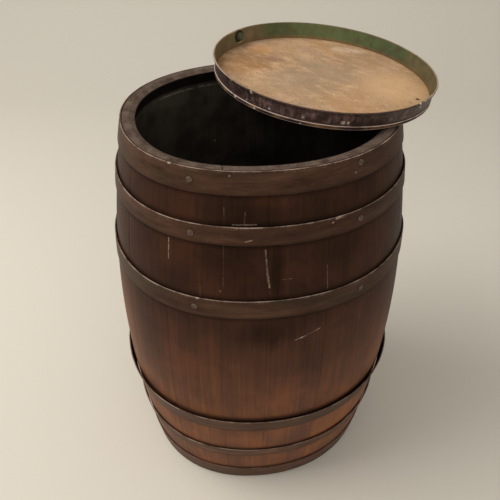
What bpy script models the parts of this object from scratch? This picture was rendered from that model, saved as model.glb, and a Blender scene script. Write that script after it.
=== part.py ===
"""A coopered barrel stick stand with a loose sheet-metal drip tray lying tilted across its mouth.

Lengths are in metres and azimuths in degrees, counted from +X towards +Y about the cask's axis.
The cask stands on the floor at z = 0 and its open end, the mouth, is at the top.
"""

import math
from collections import defaultdict, namedtuple

import bmesh
import bpy
from mathutils import Matrix, Vector

# Clearance between pieces that touch, and between the edges of neighbouring staves or boards
TOUCH = 0.0003
JOINT_GAP = 0.0003

# Cask: height over the stave ends, outer radius at both ends and how far the bilge swells past them
HEIGHT = 0.560
TOP_RADIUS = 0.1782
BOTTOM_RADIUS = 0.1822
BILGE_SWELL = 0.0303

# The old cask has sprung out of round: an oval, a three-sided rise and a weak five-sided one
OVAL_RISE = 0.0029
OVAL_AZIMUTH = 7.2
THREE_SIDED_RISE = 0.0034
THREE_SIDED_AZIMUTH = -0.4
FIVE_SIDED_RISE = 0.0012
FIVE_SIDED_AZIMUTH = 18.7

# Staves: random widths at the bilge, as a cooper picks them, shared out round the cask
STAVE_WIDTHS = (
    0.073, 0.060, 0.080, 0.088, 0.070, 0.076, 0.066, 0.078, 0.072,
    0.077, 0.065, 0.074, 0.080, 0.069, 0.075, 0.071, 0.068, 0.076,
)
FIRST_JOINT_AZIMUTH = -122.0
STAVE_THICKNESS = 0.0187
STAVE_COLUMNS = 3
STAVE_STEPS = 10
INNER_STEPS = 5
END_EDGE_BEVEL = 0.0012
STAVE_SHADE_LOW = 0.85
STAVE_SHADE_HIGH = 1.15

# Stave ends: the chime's bevel, the howel (a shallow hollow) and the croze (the groove for a head)
CHIME_BEVEL = 0.0028
HOWEL_DEPTH = 0.0018
HOWEL_START = 0.0080
HOWEL_RUN_OUT = 0.0200
CROZE_FROM_END = 0.0195
CROZE_WIDTH = 0.0050
CROZE_DEPTH = 0.0040
CROZE_DRAFT = 0.0005

# Bottom head: boards sawn to the croze's outline, thinned to a tongue at the rim
HEAD_THICKNESS = 0.0160
HEAD_BELOW_TONGUE = 0.0038
HEAD_BOARDS = 5
HEAD_GRAIN_AZIMUTH = 20.0

# Hoops: flat iron bands with riveted laps, splayed to the cask's taper
HOOP_THICKNESS = 0.0017
HOOP_FIT = 0.0005
HOOP_STEPS = 72
LAP_STEPS = 3
LAP_RIVET_SHARES = (0.25, 0.75)

# Widths of the six hoops, and their lower edges: under the mouth, from the cask's middle or over its foot
TOP_CHIME_WIDTH = 0.0267
TOP_QUARTER_WIDTH = 0.0230
TOP_QUARTER_UNDER_MOUTH = 0.0862
TOP_BILGE_WIDTH = 0.0263
TOP_BILGE_OVER_MIDDLE = 0.0924
LOW_BILGE_WIDTH = 0.0250
LOW_BILGE_UNDER_MIDDLE = 0.1290
LOW_QUARTER_WIDTH = 0.0178
LOW_QUARTER_OVER_FOOT = 0.0769
LOW_CHIME_WIDTH = 0.0287
LOW_CHIME_OVER_FOOT = 0.0017

# How far a hoop's upper edge stands off the staves: a driven one and one that has worked loose
DRIVEN_SLACK = 0.0010
LOOSE_SLACK = 0.0042

# Each hoop with its slack, the azimuth where it laps and the nails in it as (azimuth, rise)
CHIME_NAIL_RISE = 0.0055
Hoop = namedtuple("Hoop", "name low width slack lap_azimuth nails")
HOOPS = (
    Hoop("chime_hoop_top", HEIGHT - TOP_CHIME_WIDTH, TOP_CHIME_WIDTH, 0.0, 80.0,
         ((-113.5, 0.0), (-49.5, CHIME_NAIL_RISE), (69.4, 0.0), (128.4, 0.0))),
    Hoop("quarter_hoop_top", HEIGHT - TOP_QUARTER_UNDER_MOUTH, TOP_QUARTER_WIDTH, DRIVEN_SLACK, 95.0,
         ((-112.2, 0.0), (-50.6, 0.0), (70.2, 0.0), (129.6, 0.0))),
    Hoop("bilge_hoop_top", HEIGHT / 2 + TOP_BILGE_OVER_MIDDLE, TOP_BILGE_WIDTH, DRIVEN_SLACK, 85.0,
         ((-110.7, 0.0), (-49.6, 0.0), (68.8, 0.0), (130.3, 0.0))),
    Hoop("bilge_hoop_bottom", HEIGHT / 2 - LOW_BILGE_UNDER_MIDDLE, LOW_BILGE_WIDTH, LOOSE_SLACK, 100.0, ()),
    Hoop("quarter_hoop_bottom", LOW_QUARTER_OVER_FOOT, LOW_QUARTER_WIDTH, DRIVEN_SLACK, 80.0, ()),
    Hoop("chime_hoop_bottom", LOW_CHIME_OVER_FOOT, LOW_CHIME_WIDTH, 0.0, 95.0, ()),
)

# Fasteners: hoop nails driven into the staves and two rivets in each lap, their heads flattened domes
HEAD_SHOULDER_OUT = 0.8
HEAD_SHOULDER_UP = 0.65
NAIL_HEAD_RADIUS = 0.0038
NAIL_HEAD_HEIGHT = 0.0015
NAIL_SHANK_RADIUS = 0.0014
NAIL_LENGTH = 0.0140
RIVET_HEAD_RADIUS = 0.0048
RIVET_HEAD_HEIGHT = 0.0024
RIVET_SHANK_RADIUS = 0.0022
FASTENER_SIDES = 8
HOLE_OVERSHOOT = 0.0020

# Drip tray: a seamed floor pan and a flared wall with a hemmed rim and two soldered laps
TRAY_TOP_RADIUS = 0.1522
TRAY_SEAM_RADIUS = 0.1492
TRAY_HEIGHT = 0.0235
TRAY_SHEET = 0.0010
TRAY_SEAM_HEIGHT = 0.0034
TRAY_SEAM_FIT = 0.0005
HEM_HEIGHT = 0.0030
HEM_BULGE = 0.0012
HEM_ROUNDING = 0.2
RIM_ROUNDING = 0.3
TRAY_STEPS = 60
TRAY_LAPS = (140.0, -42.0)
TRAY_LAP_LENGTH = 0.0220
TRAY_LAP_STEPS = 4
TRAY_LAP_EDGE = 0.0004

# The boss on a round flange that is riveted through the middle of one lap of the tray's wall
BOSS_BELOW_RIM = 0.0098
BOSS_RADIUS = 0.0064
BOSS_STANDS_IN = 0.0052
BOSS_DOME_STEPS = 4
FLANGE_RADIUS = 0.0092
FLANGE_THICKNESS = 0.0008
FLANGE_CLEARANCE = 0.0006
BOSS_SHANK_RADIUS = 0.0025
BOSS_TAIL_RADIUS = 0.0040
BOSS_TAIL_HEIGHT = 0.0010
BOSS_TAIL_BEVEL = 0.7
BOSS_SIDES = 16

# How the tray lies: where the middle of its rim is from the cask's axis, and which way it dips
TRAY_OFFSET_X = 0.0902
TRAY_OFFSET_Y = 0.0638
TRAY_TILT = 6.6
TRAY_DIP_AZIMUTH = -32.0

# Shading: edges sharper than these angles stay sharp
SHARP_EDGE = 35.0
SHARP_FASTENER = 50.0

OAK = (0.085, 0.036, 0.022)
OAK_INSIDE = (0.030, 0.018, 0.012)
HOOP_IRON = (0.060, 0.038, 0.028)
NAIL_IRON = (0.230, 0.190, 0.160)
TRAY_PAINT = (0.070, 0.065, 0.040)
TRAY_RUST = (0.480, 0.300, 0.160)


def stave_radius(z):
    """Outer radius of the staves at height z, before the cask's springing: a parabola over a taper."""
    along = 2.0 * z / HEIGHT - 1.0
    middle = (TOP_RADIUS + BOTTOM_RADIUS) / 2
    taper = (TOP_RADIUS - BOTTOM_RADIUS) / 2
    return middle + taper * along + BILGE_SWELL * (1.0 - along * along)


def springing(azimuth):
    """How far the cask stands out of round at an azimuth."""
    oval = OVAL_RISE * math.cos(math.radians(2 * (azimuth - OVAL_AZIMUTH)))
    three = THREE_SIDED_RISE * math.cos(math.radians(3 * (azimuth - THREE_SIDED_AZIMUTH)))
    five = FIVE_SIDED_RISE * math.cos(math.radians(5 * (azimuth - FIVE_SIDED_AZIMUTH)))
    return oval + three + five


def polar(radius, azimuth, z):
    """A point of the cask's frame from its radius, azimuth and height."""
    angle = math.radians(azimuth)
    return Vector((radius * math.cos(angle), radius * math.sin(angle), z))


def material(name, colour, roughness, metallic=0.0):
    """A Principled material with one colour."""
    made = bpy.data.materials.new(name)
    made.use_nodes = True
    shader = made.node_tree.nodes["Principled BSDF"]
    shader.inputs["Base Color"].default_value = (*colour, 1.0)
    shader.inputs["Roughness"].default_value = roughness
    shader.inputs["Metallic"].default_value = metallic
    made.diffuse_color = (*colour, 1.0)
    return made


def add_object(name, bm, finish, parent, sharp_degrees=SHARP_EDGE):
    """Puts a bmesh into the scene as a named object, shaded smooth up to sharp_degrees."""
    bmesh.ops.recalc_face_normals(bm, faces=bm.faces)
    mesh = bpy.data.meshes.new(name)
    bm.to_mesh(mesh)
    bm.free()
    mesh.shade_smooth()
    mesh.set_sharp_from_angle(angle=math.radians(sharp_degrees))
    made = bpy.data.objects.new(name, mesh)
    bpy.context.scene.collection.objects.link(made)
    made.parent = parent
    if finish is not None:
        mesh.materials.append(finish)
    return made


def add_empty(name, parent=None):
    """An empty that carries pieces."""
    made = bpy.data.objects.new(name, None)
    bpy.context.scene.collection.objects.link(made)
    made.parent = parent
    return made


def bridge_rings(bm, rings, closed):
    """Faces between neighbouring rings of equally many vertices; closed joins the last to the first."""
    pairs = list(zip(rings, rings[1:]))
    if closed:
        pairs.append((rings[-1], rings[0]))
    for ring, following in pairs:
        count = len(ring)
        for i in range(count):
            j = (i + 1) % count
            bm.faces.new((ring[i], ring[j], following[j], following[i]))


def swept(sections, closed):
    """A bmesh from a row of sections, each a closed outline of points; open rows get two end faces."""
    bm = bmesh.new()
    rings = [[bm.verts.new(point) for point in section] for section in sections]
    bridge_rings(bm, rings, closed)
    if not closed:
        bm.faces.new(rings[0])
        bm.faces.new(reversed(rings[-1]))
    return bm


def turned(profile, sides):
    """A bmesh turned about Z from (radius, z) points that start and end on the axis."""
    bm = bmesh.new()
    foot = bm.verts.new((0.0, 0.0, profile[0][1]))
    crown = bm.verts.new((0.0, 0.0, profile[-1][1]))
    rings = []
    for radius, z in profile[1:-1]:
        rings.append([bm.verts.new(polar(radius, 360.0 * i / sides, z)) for i in range(sides)])
    bridge_rings(bm, rings, False)
    for i in range(sides):
        j = (i + 1) % sides
        bm.faces.new((foot, rings[0][j], rings[0][i]))
        bm.faces.new((crown, rings[-1][i], rings[-1][j]))
    return bm


def outward_frame(azimuth, radius, z, splay=0.0, swing=0.0):
    """A matrix whose Z points squarely out of a face at a place on the cask.

    splay is the angle in radians by which the face widens upwards, and swing the angle by which
    it turns away from the round as the azimuth grows.
    """
    turn = Matrix.Rotation(math.radians(azimuth) - swing, 4, "Z")
    lean = Matrix.Rotation(math.radians(90.0) + splay, 4, "Y")
    return Matrix.Translation(polar(radius, azimuth, z)) @ turn @ lean


def drill(target, holes):
    """Cuts round holes, each (matrix, radius, from, to) along the matrix's Z, out of an object."""
    bm = bmesh.new()
    for frame, radius, start, end in holes:
        rod = turned([(0.0, start), (radius, start), (radius, end), (0.0, end)], FASTENER_SIDES)
        rod.transform(frame)
        scratch = bpy.data.meshes.new("rod")
        bmesh.ops.recalc_face_normals(rod, faces=rod.faces)
        rod.to_mesh(scratch)
        rod.free()
        bm.from_mesh(scratch)
        bpy.data.meshes.remove(scratch)
    cutter = add_object(target.name + "_holes", bm, None, target.parent)
    cutter.hide_render = True
    cutter.display_type = "WIRE"
    cut = target.modifiers.new("holes", "BOOLEAN")
    cut.object = cutter
    cut.operation = "DIFFERENCE"
    cut.solver = "EXACT"


def stave_joints():
    """Azimuths of the stave joints, one more than there are staves."""
    total = sum(STAVE_WIDTHS)
    joints = [FIRST_JOINT_AZIMUTH]
    for width in STAVE_WIDTHS:
        joints.append(joints[-1] + 360.0 * width / total)
    return joints


def column_azimuths():
    """Azimuths of every facet edge round the cask, which the head shares with the staves."""
    joints = stave_joints()
    columns = []
    for start, end in zip(joints, joints[1:]):
        columns += [start + (end - start) * i / STAVE_COLUMNS for i in range(STAVE_COLUMNS)]
    return columns


def end_profile():
    """(distance from the end, depth under the outer face) down the inside of a stave end."""
    hollow = STAVE_THICKNESS - HOWEL_DEPTH
    groove_end = CROZE_FROM_END + CROZE_WIDTH
    floor = hollow - CROZE_DEPTH
    return [
        (0.0, STAVE_THICKNESS - CHIME_BEVEL),
        (CHIME_BEVEL, STAVE_THICKNESS),
        (HOWEL_START, STAVE_THICKNESS - HOWEL_DEPTH / 2),
        (CROZE_FROM_END, hollow),
        (CROZE_FROM_END + CROZE_DRAFT, floor),
        (groove_end - CROZE_DRAFT, floor),
        (groove_end, hollow),
        (groove_end + HOWEL_RUN_OUT, STAVE_THICKNESS),
    ]


def stave_profile():
    """Closed outline of a stave in its own plane, as (height, depth under the outer face)."""
    span = HEIGHT - 2 * END_EDGE_BEVEL
    outline = [(0.0, END_EDGE_BEVEL)]
    outline += [(END_EDGE_BEVEL + span * i / STAVE_STEPS, 0.0) for i in range(STAVE_STEPS + 1)]
    outline.append((HEIGHT, END_EDGE_BEVEL))
    ends = end_profile()
    outline += [(HEIGHT - down, depth) for down, depth in ends]
    wall_top = HEIGHT - ends[-1][0]
    wall_foot = ends[-1][0]
    for i in range(1, INNER_STEPS):
        outline.append((wall_top + (wall_foot - wall_top) * i / INNER_STEPS, STAVE_THICKNESS))
    outline += [(up, depth) for up, depth in reversed(ends)]
    return outline


def stave_section(outline, azimuth, lean):
    """The outline at one azimuth; lean is -1, 0 or 1 for the side whose joint it draws back from."""
    section = []
    for z, depth in outline:
        radius = stave_radius(z) - depth + springing(azimuth)
        drawn = azimuth - lean * math.degrees(JOINT_GAP / 2 / radius)
        section.append(polar(radius, drawn, z))
    return section


def make_staves(parent):
    """The staves, each bowed, bevelled on its joints and cut with chime, howel and croze at both ends."""
    outline = stave_profile()
    joints = stave_joints()
    staves = []
    for index, (start, end) in enumerate(zip(joints, joints[1:])):
        sections = []
        for column in range(STAVE_COLUMNS + 1):
            azimuth = start + (end - start) * column / STAVE_COLUMNS
            lean = {0: -1, STAVE_COLUMNS: 1}.get(column, 0)
            sections.append(stave_section(outline, azimuth, lean))
        name = f"stave_{index + 1:02d}"
        step = index * 7 % 5 / 4
        shade = STAVE_SHADE_LOW + (STAVE_SHADE_HIGH - STAVE_SHADE_LOW) * step
        oak = material(name + "_oak", [channel * shade for channel in OAK], 0.45)
        staves.append(add_object(name, swept(sections, False), oak, parent))
    return staves


def make_head(parent):
    """The boards of the bottom head, cut from one disc whose rim is thinned to a tongue."""
    tongue_low = CROZE_FROM_END + CROZE_DRAFT + TOUCH
    tongue_high = CROZE_FROM_END + CROZE_WIDTH - CROZE_DRAFT - TOUCH
    bottom = tongue_low - HEAD_BELOW_TONGUE
    top = bottom + HEAD_THICKNESS
    in_groove = CROZE_DEPTH + TOUCH
    levels = [
        (bottom, in_groove + HEAD_BELOW_TONGUE),
        (tongue_low, in_groove),
        (tongue_low, 0.0),
        (tongue_high, 0.0),
        (tongue_high, in_groove),
        (top, in_groove + top - tongue_high),
    ]
    groove = stave_radius(CROZE_FROM_END) - STAVE_THICKNESS + HOWEL_DEPTH + CROZE_DEPTH
    sections = []
    for z, inset in levels:
        ring = []
        for azimuth in column_azimuths():
            ring.append(polar(groove - TOUCH - inset + springing(azimuth), azimuth, z))
        sections.append(ring)
    reach = groove + OVAL_RISE + THREE_SIDED_RISE + FIVE_SIDED_RISE
    width = 2 * reach / HEAD_BOARDS
    across = Matrix.Rotation(math.radians(HEAD_GRAIN_AZIMUTH), 3, "Z") @ Vector((0.0, 1.0, 0.0))
    for board in range(HEAD_BOARDS):
        low = -reach + board * width + JOINT_GAP / 2
        high = low + width - JOINT_GAP
        bm = swept(sections, False)
        for place, side in ((low, -1.0), (high, 1.0)):
            geometry = bm.verts[:] + bm.edges[:] + bm.faces[:]
            bmesh.ops.bisect_plane(
                bm, geom=geometry, plane_co=across * place, plane_no=across * side, clear_outer=True
            )
            rim = [edge for edge in bm.edges if edge.is_boundary]
            bmesh.ops.holes_fill(bm, edges=rim)
        oak = material(f"head_board_{board + 1}_oak", OAK_INSIDE, 0.6)
        add_object(f"head_board_{board + 1}", bm, oak, parent)


def hoop_inner(hoop, share):
    """Inner radius of a hoop a share of the way up its straight, splayed face."""
    foot = stave_radius(hoop.low)
    head = stave_radius(hoop.low + hoop.width) + hoop.slack
    return HOOP_FIT + foot + (head - foot) * share


def hoop_seat(hoop, azimuth, out, rise=0.0):
    """The frame of a fastener square on a hoop's face, out from its inner one and rise above its middle."""
    splay = math.atan2(hoop_inner(hoop, 1.0) - hoop_inner(hoop, 0.0), hoop.width)
    share = 0.5 + rise / hoop.width
    radius = hoop_inner(hoop, share) + springing(azimuth) + out
    per_degree = (springing(azimuth + 1.0) - springing(azimuth - 1.0)) / 2
    swing = math.atan2(math.degrees(per_degree), radius)
    return outward_frame(azimuth, radius, hoop.low + hoop.width * share, splay, swing)


def make_hoop(hoop, parent):
    """A band that runs once round and laps over its own start, with holes for its fasteners."""
    low = hoop.low
    high = hoop.low + hoop.width
    sections = []
    for step in range(HOOP_STEPS + LAP_STEPS + 1):
        azimuth = hoop.lap_azimuth + 360.0 * step / HOOP_STEPS
        lift = HOOP_THICKNESS + TOUCH if step >= HOOP_STEPS else 0.0
        out = springing(azimuth) + lift
        corners = (
            (hoop_inner(hoop, 0.0), low),
            (hoop_inner(hoop, 0.0) + HOOP_THICKNESS, low),
            (hoop_inner(hoop, 1.0) + HOOP_THICKNESS, high),
            (hoop_inner(hoop, 1.0), high),
        )
        sections.append([polar(radius + out, azimuth, z) for radius, z in corners])
    iron = material(hoop.name + "_iron", HOOP_IRON, 0.5, 0.6)
    return add_object(hoop.name, swept(sections, False), iron, parent)


def lap_rivet_azimuths(hoop):
    """Azimuths of the two rivets of a hoop's lap."""
    lap = 360.0 * LAP_STEPS / HOOP_STEPS
    return [hoop.lap_azimuth + lap * share for share in LAP_RIVET_SHARES]


def stave_at(azimuth):
    """Index of the stave that an azimuth falls on."""
    turned_to = (azimuth - FIRST_JOINT_AZIMUTH) % 360.0 + FIRST_JOINT_AZIMUTH
    return sum(joint <= turned_to for joint in stave_joints()) - 1


def add_fastener(name, profile, frame, finish, parent, sides):
    """A turned fastener placed by its location and rotation."""
    made = add_object(name, turned(profile, sides), finish, parent, SHARP_FASTENER)
    made.location = frame.to_translation()
    made.rotation_euler = frame.to_euler()
    return made


def domed(head_radius, head_height, shank_radius, length):
    """Profile of a domed fastener, its head's underside at z = 0 and its shank below."""
    return [
        (0.0, -length),
        (shank_radius, -length),
        (shank_radius, 0.0),
        (head_radius, 0.0),
        (head_radius * HEAD_SHOULDER_OUT, head_height * HEAD_SHOULDER_UP),
        (0.0, head_height),
    ]


def make_fasteners(hoops, staves, parent):
    """Lap rivets for every hoop, its nails if it has any, and the holes that both need."""
    lapped = 2 * HOOP_THICKNESS + TOUCH
    rivet = domed(RIVET_HEAD_RADIUS, RIVET_HEAD_HEIGHT, RIVET_SHANK_RADIUS, lapped + TOUCH)
    nail = domed(NAIL_HEAD_RADIUS, NAIL_HEAD_HEIGHT, NAIL_SHANK_RADIUS, NAIL_LENGTH)
    stave_holes = defaultdict(list)
    for hoop, band in zip(HOOPS, hoops):
        holes = []
        for number, azimuth in enumerate(lap_rivet_azimuths(hoop)):
            frame = hoop_seat(hoop, azimuth, lapped + TOUCH)
            holes.append((frame, RIVET_SHANK_RADIUS + TOUCH, -lapped - HOLE_OVERSHOOT, HOLE_OVERSHOOT))
            iron = material(f"{hoop.name}_rivet_{number + 1}_iron", HOOP_IRON, 0.45, 0.7)
            add_fastener(f"{hoop.name}_rivet_{number + 1}", rivet, frame, iron, parent, FASTENER_SIDES)
        for number, (azimuth, rise) in enumerate(hoop.nails):
            frame = hoop_seat(hoop, azimuth, HOOP_THICKNESS + TOUCH, rise)
            hole = (frame, NAIL_SHANK_RADIUS + TOUCH, -NAIL_LENGTH - TOUCH, HOLE_OVERSHOOT)
            holes.append(hole)
            stave_holes[stave_at(azimuth)].append(hole)
            iron = material(f"{hoop.name}_nail_{number + 1}_iron", NAIL_IRON, 0.4, 0.7)
            add_fastener(f"{hoop.name}_nail_{number + 1}", nail, frame, iron, parent, FASTENER_SIDES)
        drill(band, holes)
    for index, holes in stave_holes.items():
        drill(staves[index], holes)


def wall_outer(z):
    """Outer radius of the tray's wall at a height: upright inside the seam, then flared to the rim."""
    foot = TRAY_SEAM_RADIUS - TRAY_SHEET - TRAY_SEAM_FIT
    head = TRAY_TOP_RADIUS - HEM_BULGE
    share = (z - TRAY_SEAM_HEIGHT) / (TRAY_HEIGHT - TRAY_SEAM_HEIGHT)
    return foot + (head - foot) * max(share, 0.0)


def tray_wall_azimuths():
    """Stations round the wall as (azimuth, thickening), with a sharp edge and a fade at each lap."""
    lap = math.degrees(TRAY_LAP_LENGTH / TRAY_TOP_RADIUS)
    edge = math.degrees(TRAY_LAP_EDGE / TRAY_TOP_RADIUS)
    stations = []
    for start in TRAY_LAPS:
        stations += [(start % 360.0, 0.0), ((start + 2 * lap) % 360.0, 0.0)]
        for step in range(TRAY_LAP_STEPS + 1):
            along = edge + (lap - edge) * step / TRAY_LAP_STEPS
            stations.append(((start + along) % 360.0, TRAY_SHEET))
    for step in range(TRAY_STEPS):
        azimuth = 360.0 * step / TRAY_STEPS
        if all((azimuth - start) % 360.0 > 2 * lap for start in TRAY_LAPS):
            stations.append((azimuth, 0.0))
    return sorted(stations)


def make_tray(parent):
    """The tray's wall, floor pan and boss, in the tray's own frame with its underside at z = 0."""
    foot = TRAY_SHEET + TOUCH
    rounding = HEM_HEIGHT * HEM_ROUNDING
    sections = []
    for azimuth, thicker in tray_wall_azimuths():
        inside = TRAY_SHEET + thicker
        outline = (
            (wall_outer(foot), foot),
            (wall_outer(TRAY_SEAM_HEIGHT), TRAY_SEAM_HEIGHT),
            (wall_outer(TRAY_HEIGHT - HEM_HEIGHT), TRAY_HEIGHT - HEM_HEIGHT),
            (TRAY_TOP_RADIUS, TRAY_HEIGHT - HEM_HEIGHT + rounding),
            (TRAY_TOP_RADIUS, TRAY_HEIGHT - rounding),
            (TRAY_TOP_RADIUS - HEM_BULGE / 2, TRAY_HEIGHT),
            (wall_outer(TRAY_HEIGHT) - inside * (1.0 - RIM_ROUNDING), TRAY_HEIGHT),
            (wall_outer(TRAY_HEIGHT) - inside, TRAY_HEIGHT - rounding),
            (wall_outer(TRAY_SEAM_HEIGHT) - inside, TRAY_SEAM_HEIGHT),
            (wall_outer(foot) - inside, foot),
        )
        sections.append([polar(radius, azimuth, z) for radius, z in outline])
    paint = material("tray_wall_paint", TRAY_PAINT, 0.5, 0.2)
    wall = add_object("tray_wall", swept(sections, True), paint, parent)

    pan = [
        (0.0, 0.0),
        (TRAY_SEAM_RADIUS, 0.0),
        (TRAY_SEAM_RADIUS, TRAY_SEAM_HEIGHT),
        (TRAY_SEAM_RADIUS - TRAY_SHEET, TRAY_SEAM_HEIGHT),
        (TRAY_SEAM_RADIUS - TRAY_SHEET, TRAY_SHEET),
        (0.0, TRAY_SHEET),
    ]
    rust = material("tray_floor_rust", TRAY_RUST, 0.7, 0.2)
    add_object("tray_floor", turned(pan, TRAY_STEPS), rust, parent)

    azimuth = TRAY_LAPS[0] + math.degrees(TRAY_LAP_LENGTH / TRAY_TOP_RADIUS) / 2
    height = TRAY_HEIGHT - BOSS_BELOW_RIM
    rise = wall_outer(TRAY_HEIGHT) - wall_outer(TRAY_SEAM_HEIGHT)
    flare = math.atan2(rise, TRAY_HEIGHT - TRAY_SEAM_HEIGHT)
    grip = 2 * TRAY_SHEET + TOUCH + FLANGE_CLEARANCE
    flange = grip + FLANGE_THICKNESS
    profile = []
    for step in range(BOSS_DOME_STEPS + 1):
        slope = math.pi / 2 * step / BOSS_DOME_STEPS
        profile.append((BOSS_RADIUS * math.sin(slope), -flange - BOSS_STANDS_IN * math.cos(slope)))
    profile += [
        (FLANGE_RADIUS, -flange),
        (FLANGE_RADIUS, -grip),
        (BOSS_SHANK_RADIUS, -grip),
        (BOSS_SHANK_RADIUS, 0.0),
        (BOSS_TAIL_RADIUS, 0.0),
        (BOSS_TAIL_RADIUS * BOSS_TAIL_BEVEL, BOSS_TAIL_HEIGHT),
        (0.0, BOSS_TAIL_HEIGHT),
    ]
    frame = outward_frame(azimuth, wall_outer(height) + TOUCH, height, flare)
    iron = material("tray_boss_iron", TRAY_PAINT, 0.5, 0.4)
    add_fastener("tray_boss", profile, frame, iron, parent, BOSS_SIDES)
    reach = grip + TOUCH + HOLE_OVERSHOOT
    drill(wall, [(frame, BOSS_SHANK_RADIUS + TOUCH, -reach, HOLE_OVERSHOOT)])


def tray_rest_height(normal, middle):
    """Height of the middle of the tray's underside at which it just clears the rim it leans on."""
    rim = stave_radius(HEIGHT) + HOOP_FIT + HOOP_THICKNESS
    rises = []
    for azimuth in range(360):
        point = polar(rim + springing(azimuth), azimuth, 0.0) - middle
        drop = -(normal.x * point.x + normal.y * point.y) / normal.z
        if Vector((point.x, point.y, drop)).length < TRAY_SEAM_RADIUS:
            rises.append(-drop)
    return HEIGHT + TOUCH + max(rises)


def lay_tray(tray):
    """Sets the tray's empty so that the tray dips one way and rests on the rim there."""
    tilt = math.radians(TRAY_TILT)
    dip = math.radians(TRAY_DIP_AZIMUTH)
    normal = Vector((math.sin(tilt) * math.cos(dip), math.sin(tilt) * math.sin(dip), math.cos(tilt)))
    middle = Vector((TRAY_OFFSET_X, TRAY_OFFSET_Y, 0.0)) - TRAY_HEIGHT * Vector((normal.x, normal.y, 0.0))
    middle.z = tray_rest_height(normal, middle)
    axis = Vector((-math.sin(dip), math.cos(dip), 0.0))
    tray.location = middle
    tray.rotation_euler = Matrix.Rotation(tilt, 4, axis).to_euler()


def centre_footprint(root):
    """Moves the whole stand so that the middle of its outline, seen from above, is over the origin."""
    bpy.context.view_layer.update()
    graph = bpy.context.evaluated_depsgraph_get()
    corners = []
    for piece in bpy.context.scene.objects:
        if piece.type == "MESH" and not piece.hide_render:
            ready = piece.evaluated_get(graph)
            corners += [ready.matrix_world @ vertex.co for vertex in ready.data.vertices]
    for axis in (0, 1):
        values = [corner[axis] for corner in corners]
        root.location[axis] = -(min(values) + max(values)) / 2


def main():
    for old in list(bpy.data.objects):
        bpy.data.objects.remove(old, do_unlink=True)
    root = add_empty("stick_stand")
    barrel = add_empty("barrel", root)
    staves = make_staves(barrel)
    make_head(barrel)
    hoops = [make_hoop(hoop, barrel) for hoop in HOOPS]
    make_fasteners(hoops, staves, barrel)
    tray = add_empty("tray", root)
    make_tray(tray)
    lay_tray(tray)
    centre_footprint(root)


main()
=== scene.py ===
"""The looks of an old coopered stick stand with a sheet-metal drip tray lying across its mouth.

Lengths are in metres and azimuths in degrees, counted from +X towards +Y about the cask's axis.
"""

import logging
import math
from dataclasses import dataclass, field
from enum import Enum

import bpy
import numpy as np
from mathutils import Matrix, Vector
from numpy.typing import NDArray


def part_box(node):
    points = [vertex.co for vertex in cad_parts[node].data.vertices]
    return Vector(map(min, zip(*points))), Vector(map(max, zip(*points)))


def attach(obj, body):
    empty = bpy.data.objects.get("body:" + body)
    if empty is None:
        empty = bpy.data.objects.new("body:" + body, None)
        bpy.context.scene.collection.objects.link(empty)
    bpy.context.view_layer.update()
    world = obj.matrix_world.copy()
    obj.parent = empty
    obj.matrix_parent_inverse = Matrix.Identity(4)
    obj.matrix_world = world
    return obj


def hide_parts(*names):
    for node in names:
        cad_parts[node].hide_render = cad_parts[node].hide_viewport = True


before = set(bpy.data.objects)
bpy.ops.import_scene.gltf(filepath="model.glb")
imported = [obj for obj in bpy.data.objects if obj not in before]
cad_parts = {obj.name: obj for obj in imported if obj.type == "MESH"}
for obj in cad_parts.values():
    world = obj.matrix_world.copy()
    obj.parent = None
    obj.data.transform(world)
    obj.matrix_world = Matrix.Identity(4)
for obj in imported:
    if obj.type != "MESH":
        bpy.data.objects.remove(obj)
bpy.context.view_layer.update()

Grid = NDArray[np.float64]
Colour = tuple[float, float, float, float]
Triple = tuple[float, float, float]

# The two values of a ramp: where it is 0 and where it is 1
Span = tuple[float, float]

log = logging.getLogger("stick_stand")

# Smooth shading breaks at edges sharper than this
SHARP_DEGREES = 38.0

# A rounded corner has this many steps, and one that turns less than this is left as it is
CORNER_STEPS = 4
STRAIGHT = 1e-6

# The grain of a stave is shifted by its tone times this
STAVE_SHIFT: Triple = (31.0, 17.0, 5.0)

WHITE: Colour = (1.0, 1.0, 1.0, 1.0)
BLACK: Colour = (0.0, 0.0, 0.0, 1.0)


class Body(Enum):
    """The two bodies that pieces ride on."""

    BARREL = "barrel"
    TRAY = "tray"


class Slot(Enum):
    """The record's material slots."""

    STAVE = "stave_oak"
    HEAD = "head_oak"
    HOOP = "hoop_iron"
    RIVET = "rivet_iron"
    NAIL = "nail_iron"
    TRAY_WALL = "tray_paint"
    TRAY_FLOOR = "tray_rust"
    BOSS = "boss_iron"


# Sums with arrays

def colour(code: str) -> Colour:
    """A colour written as #rrggbb, as linear red, green, blue and alpha.

    Up to 0.04045 a channel is divided by 12.92; above, it is ((v + 0.055) / 1.055)^2.4.

    Args:
        code: the six hexadecimal digits after a # mark.

    Returns:
        The linear colour, opaque.
    """
    stored = np.array([int(code[start:start + 2], 16) for start in (1, 3, 5)]) / 255.0
    linear = np.where(stored <= 0.04045, stored / 12.92, ((stored + 0.055) / 1.055) ** 2.4)
    return (*linear.tolist(), 1.0)


def smoothstep(low: float, high: float, value: Grid) -> Grid:
    """A ramp from 0 at low to 1 at high with level ends: 3t^2 - 2t^3.

    Args:
        low: the value at which the ramp starts.
        high: the value at which it ends.
        value: where it is read.

    Returns:
        The ramp's height at each value.
    """
    t = np.clip((value - low) / (high - low), 0.0, 1.0)
    return t * t * (3.0 - 2.0 * t)


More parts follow.
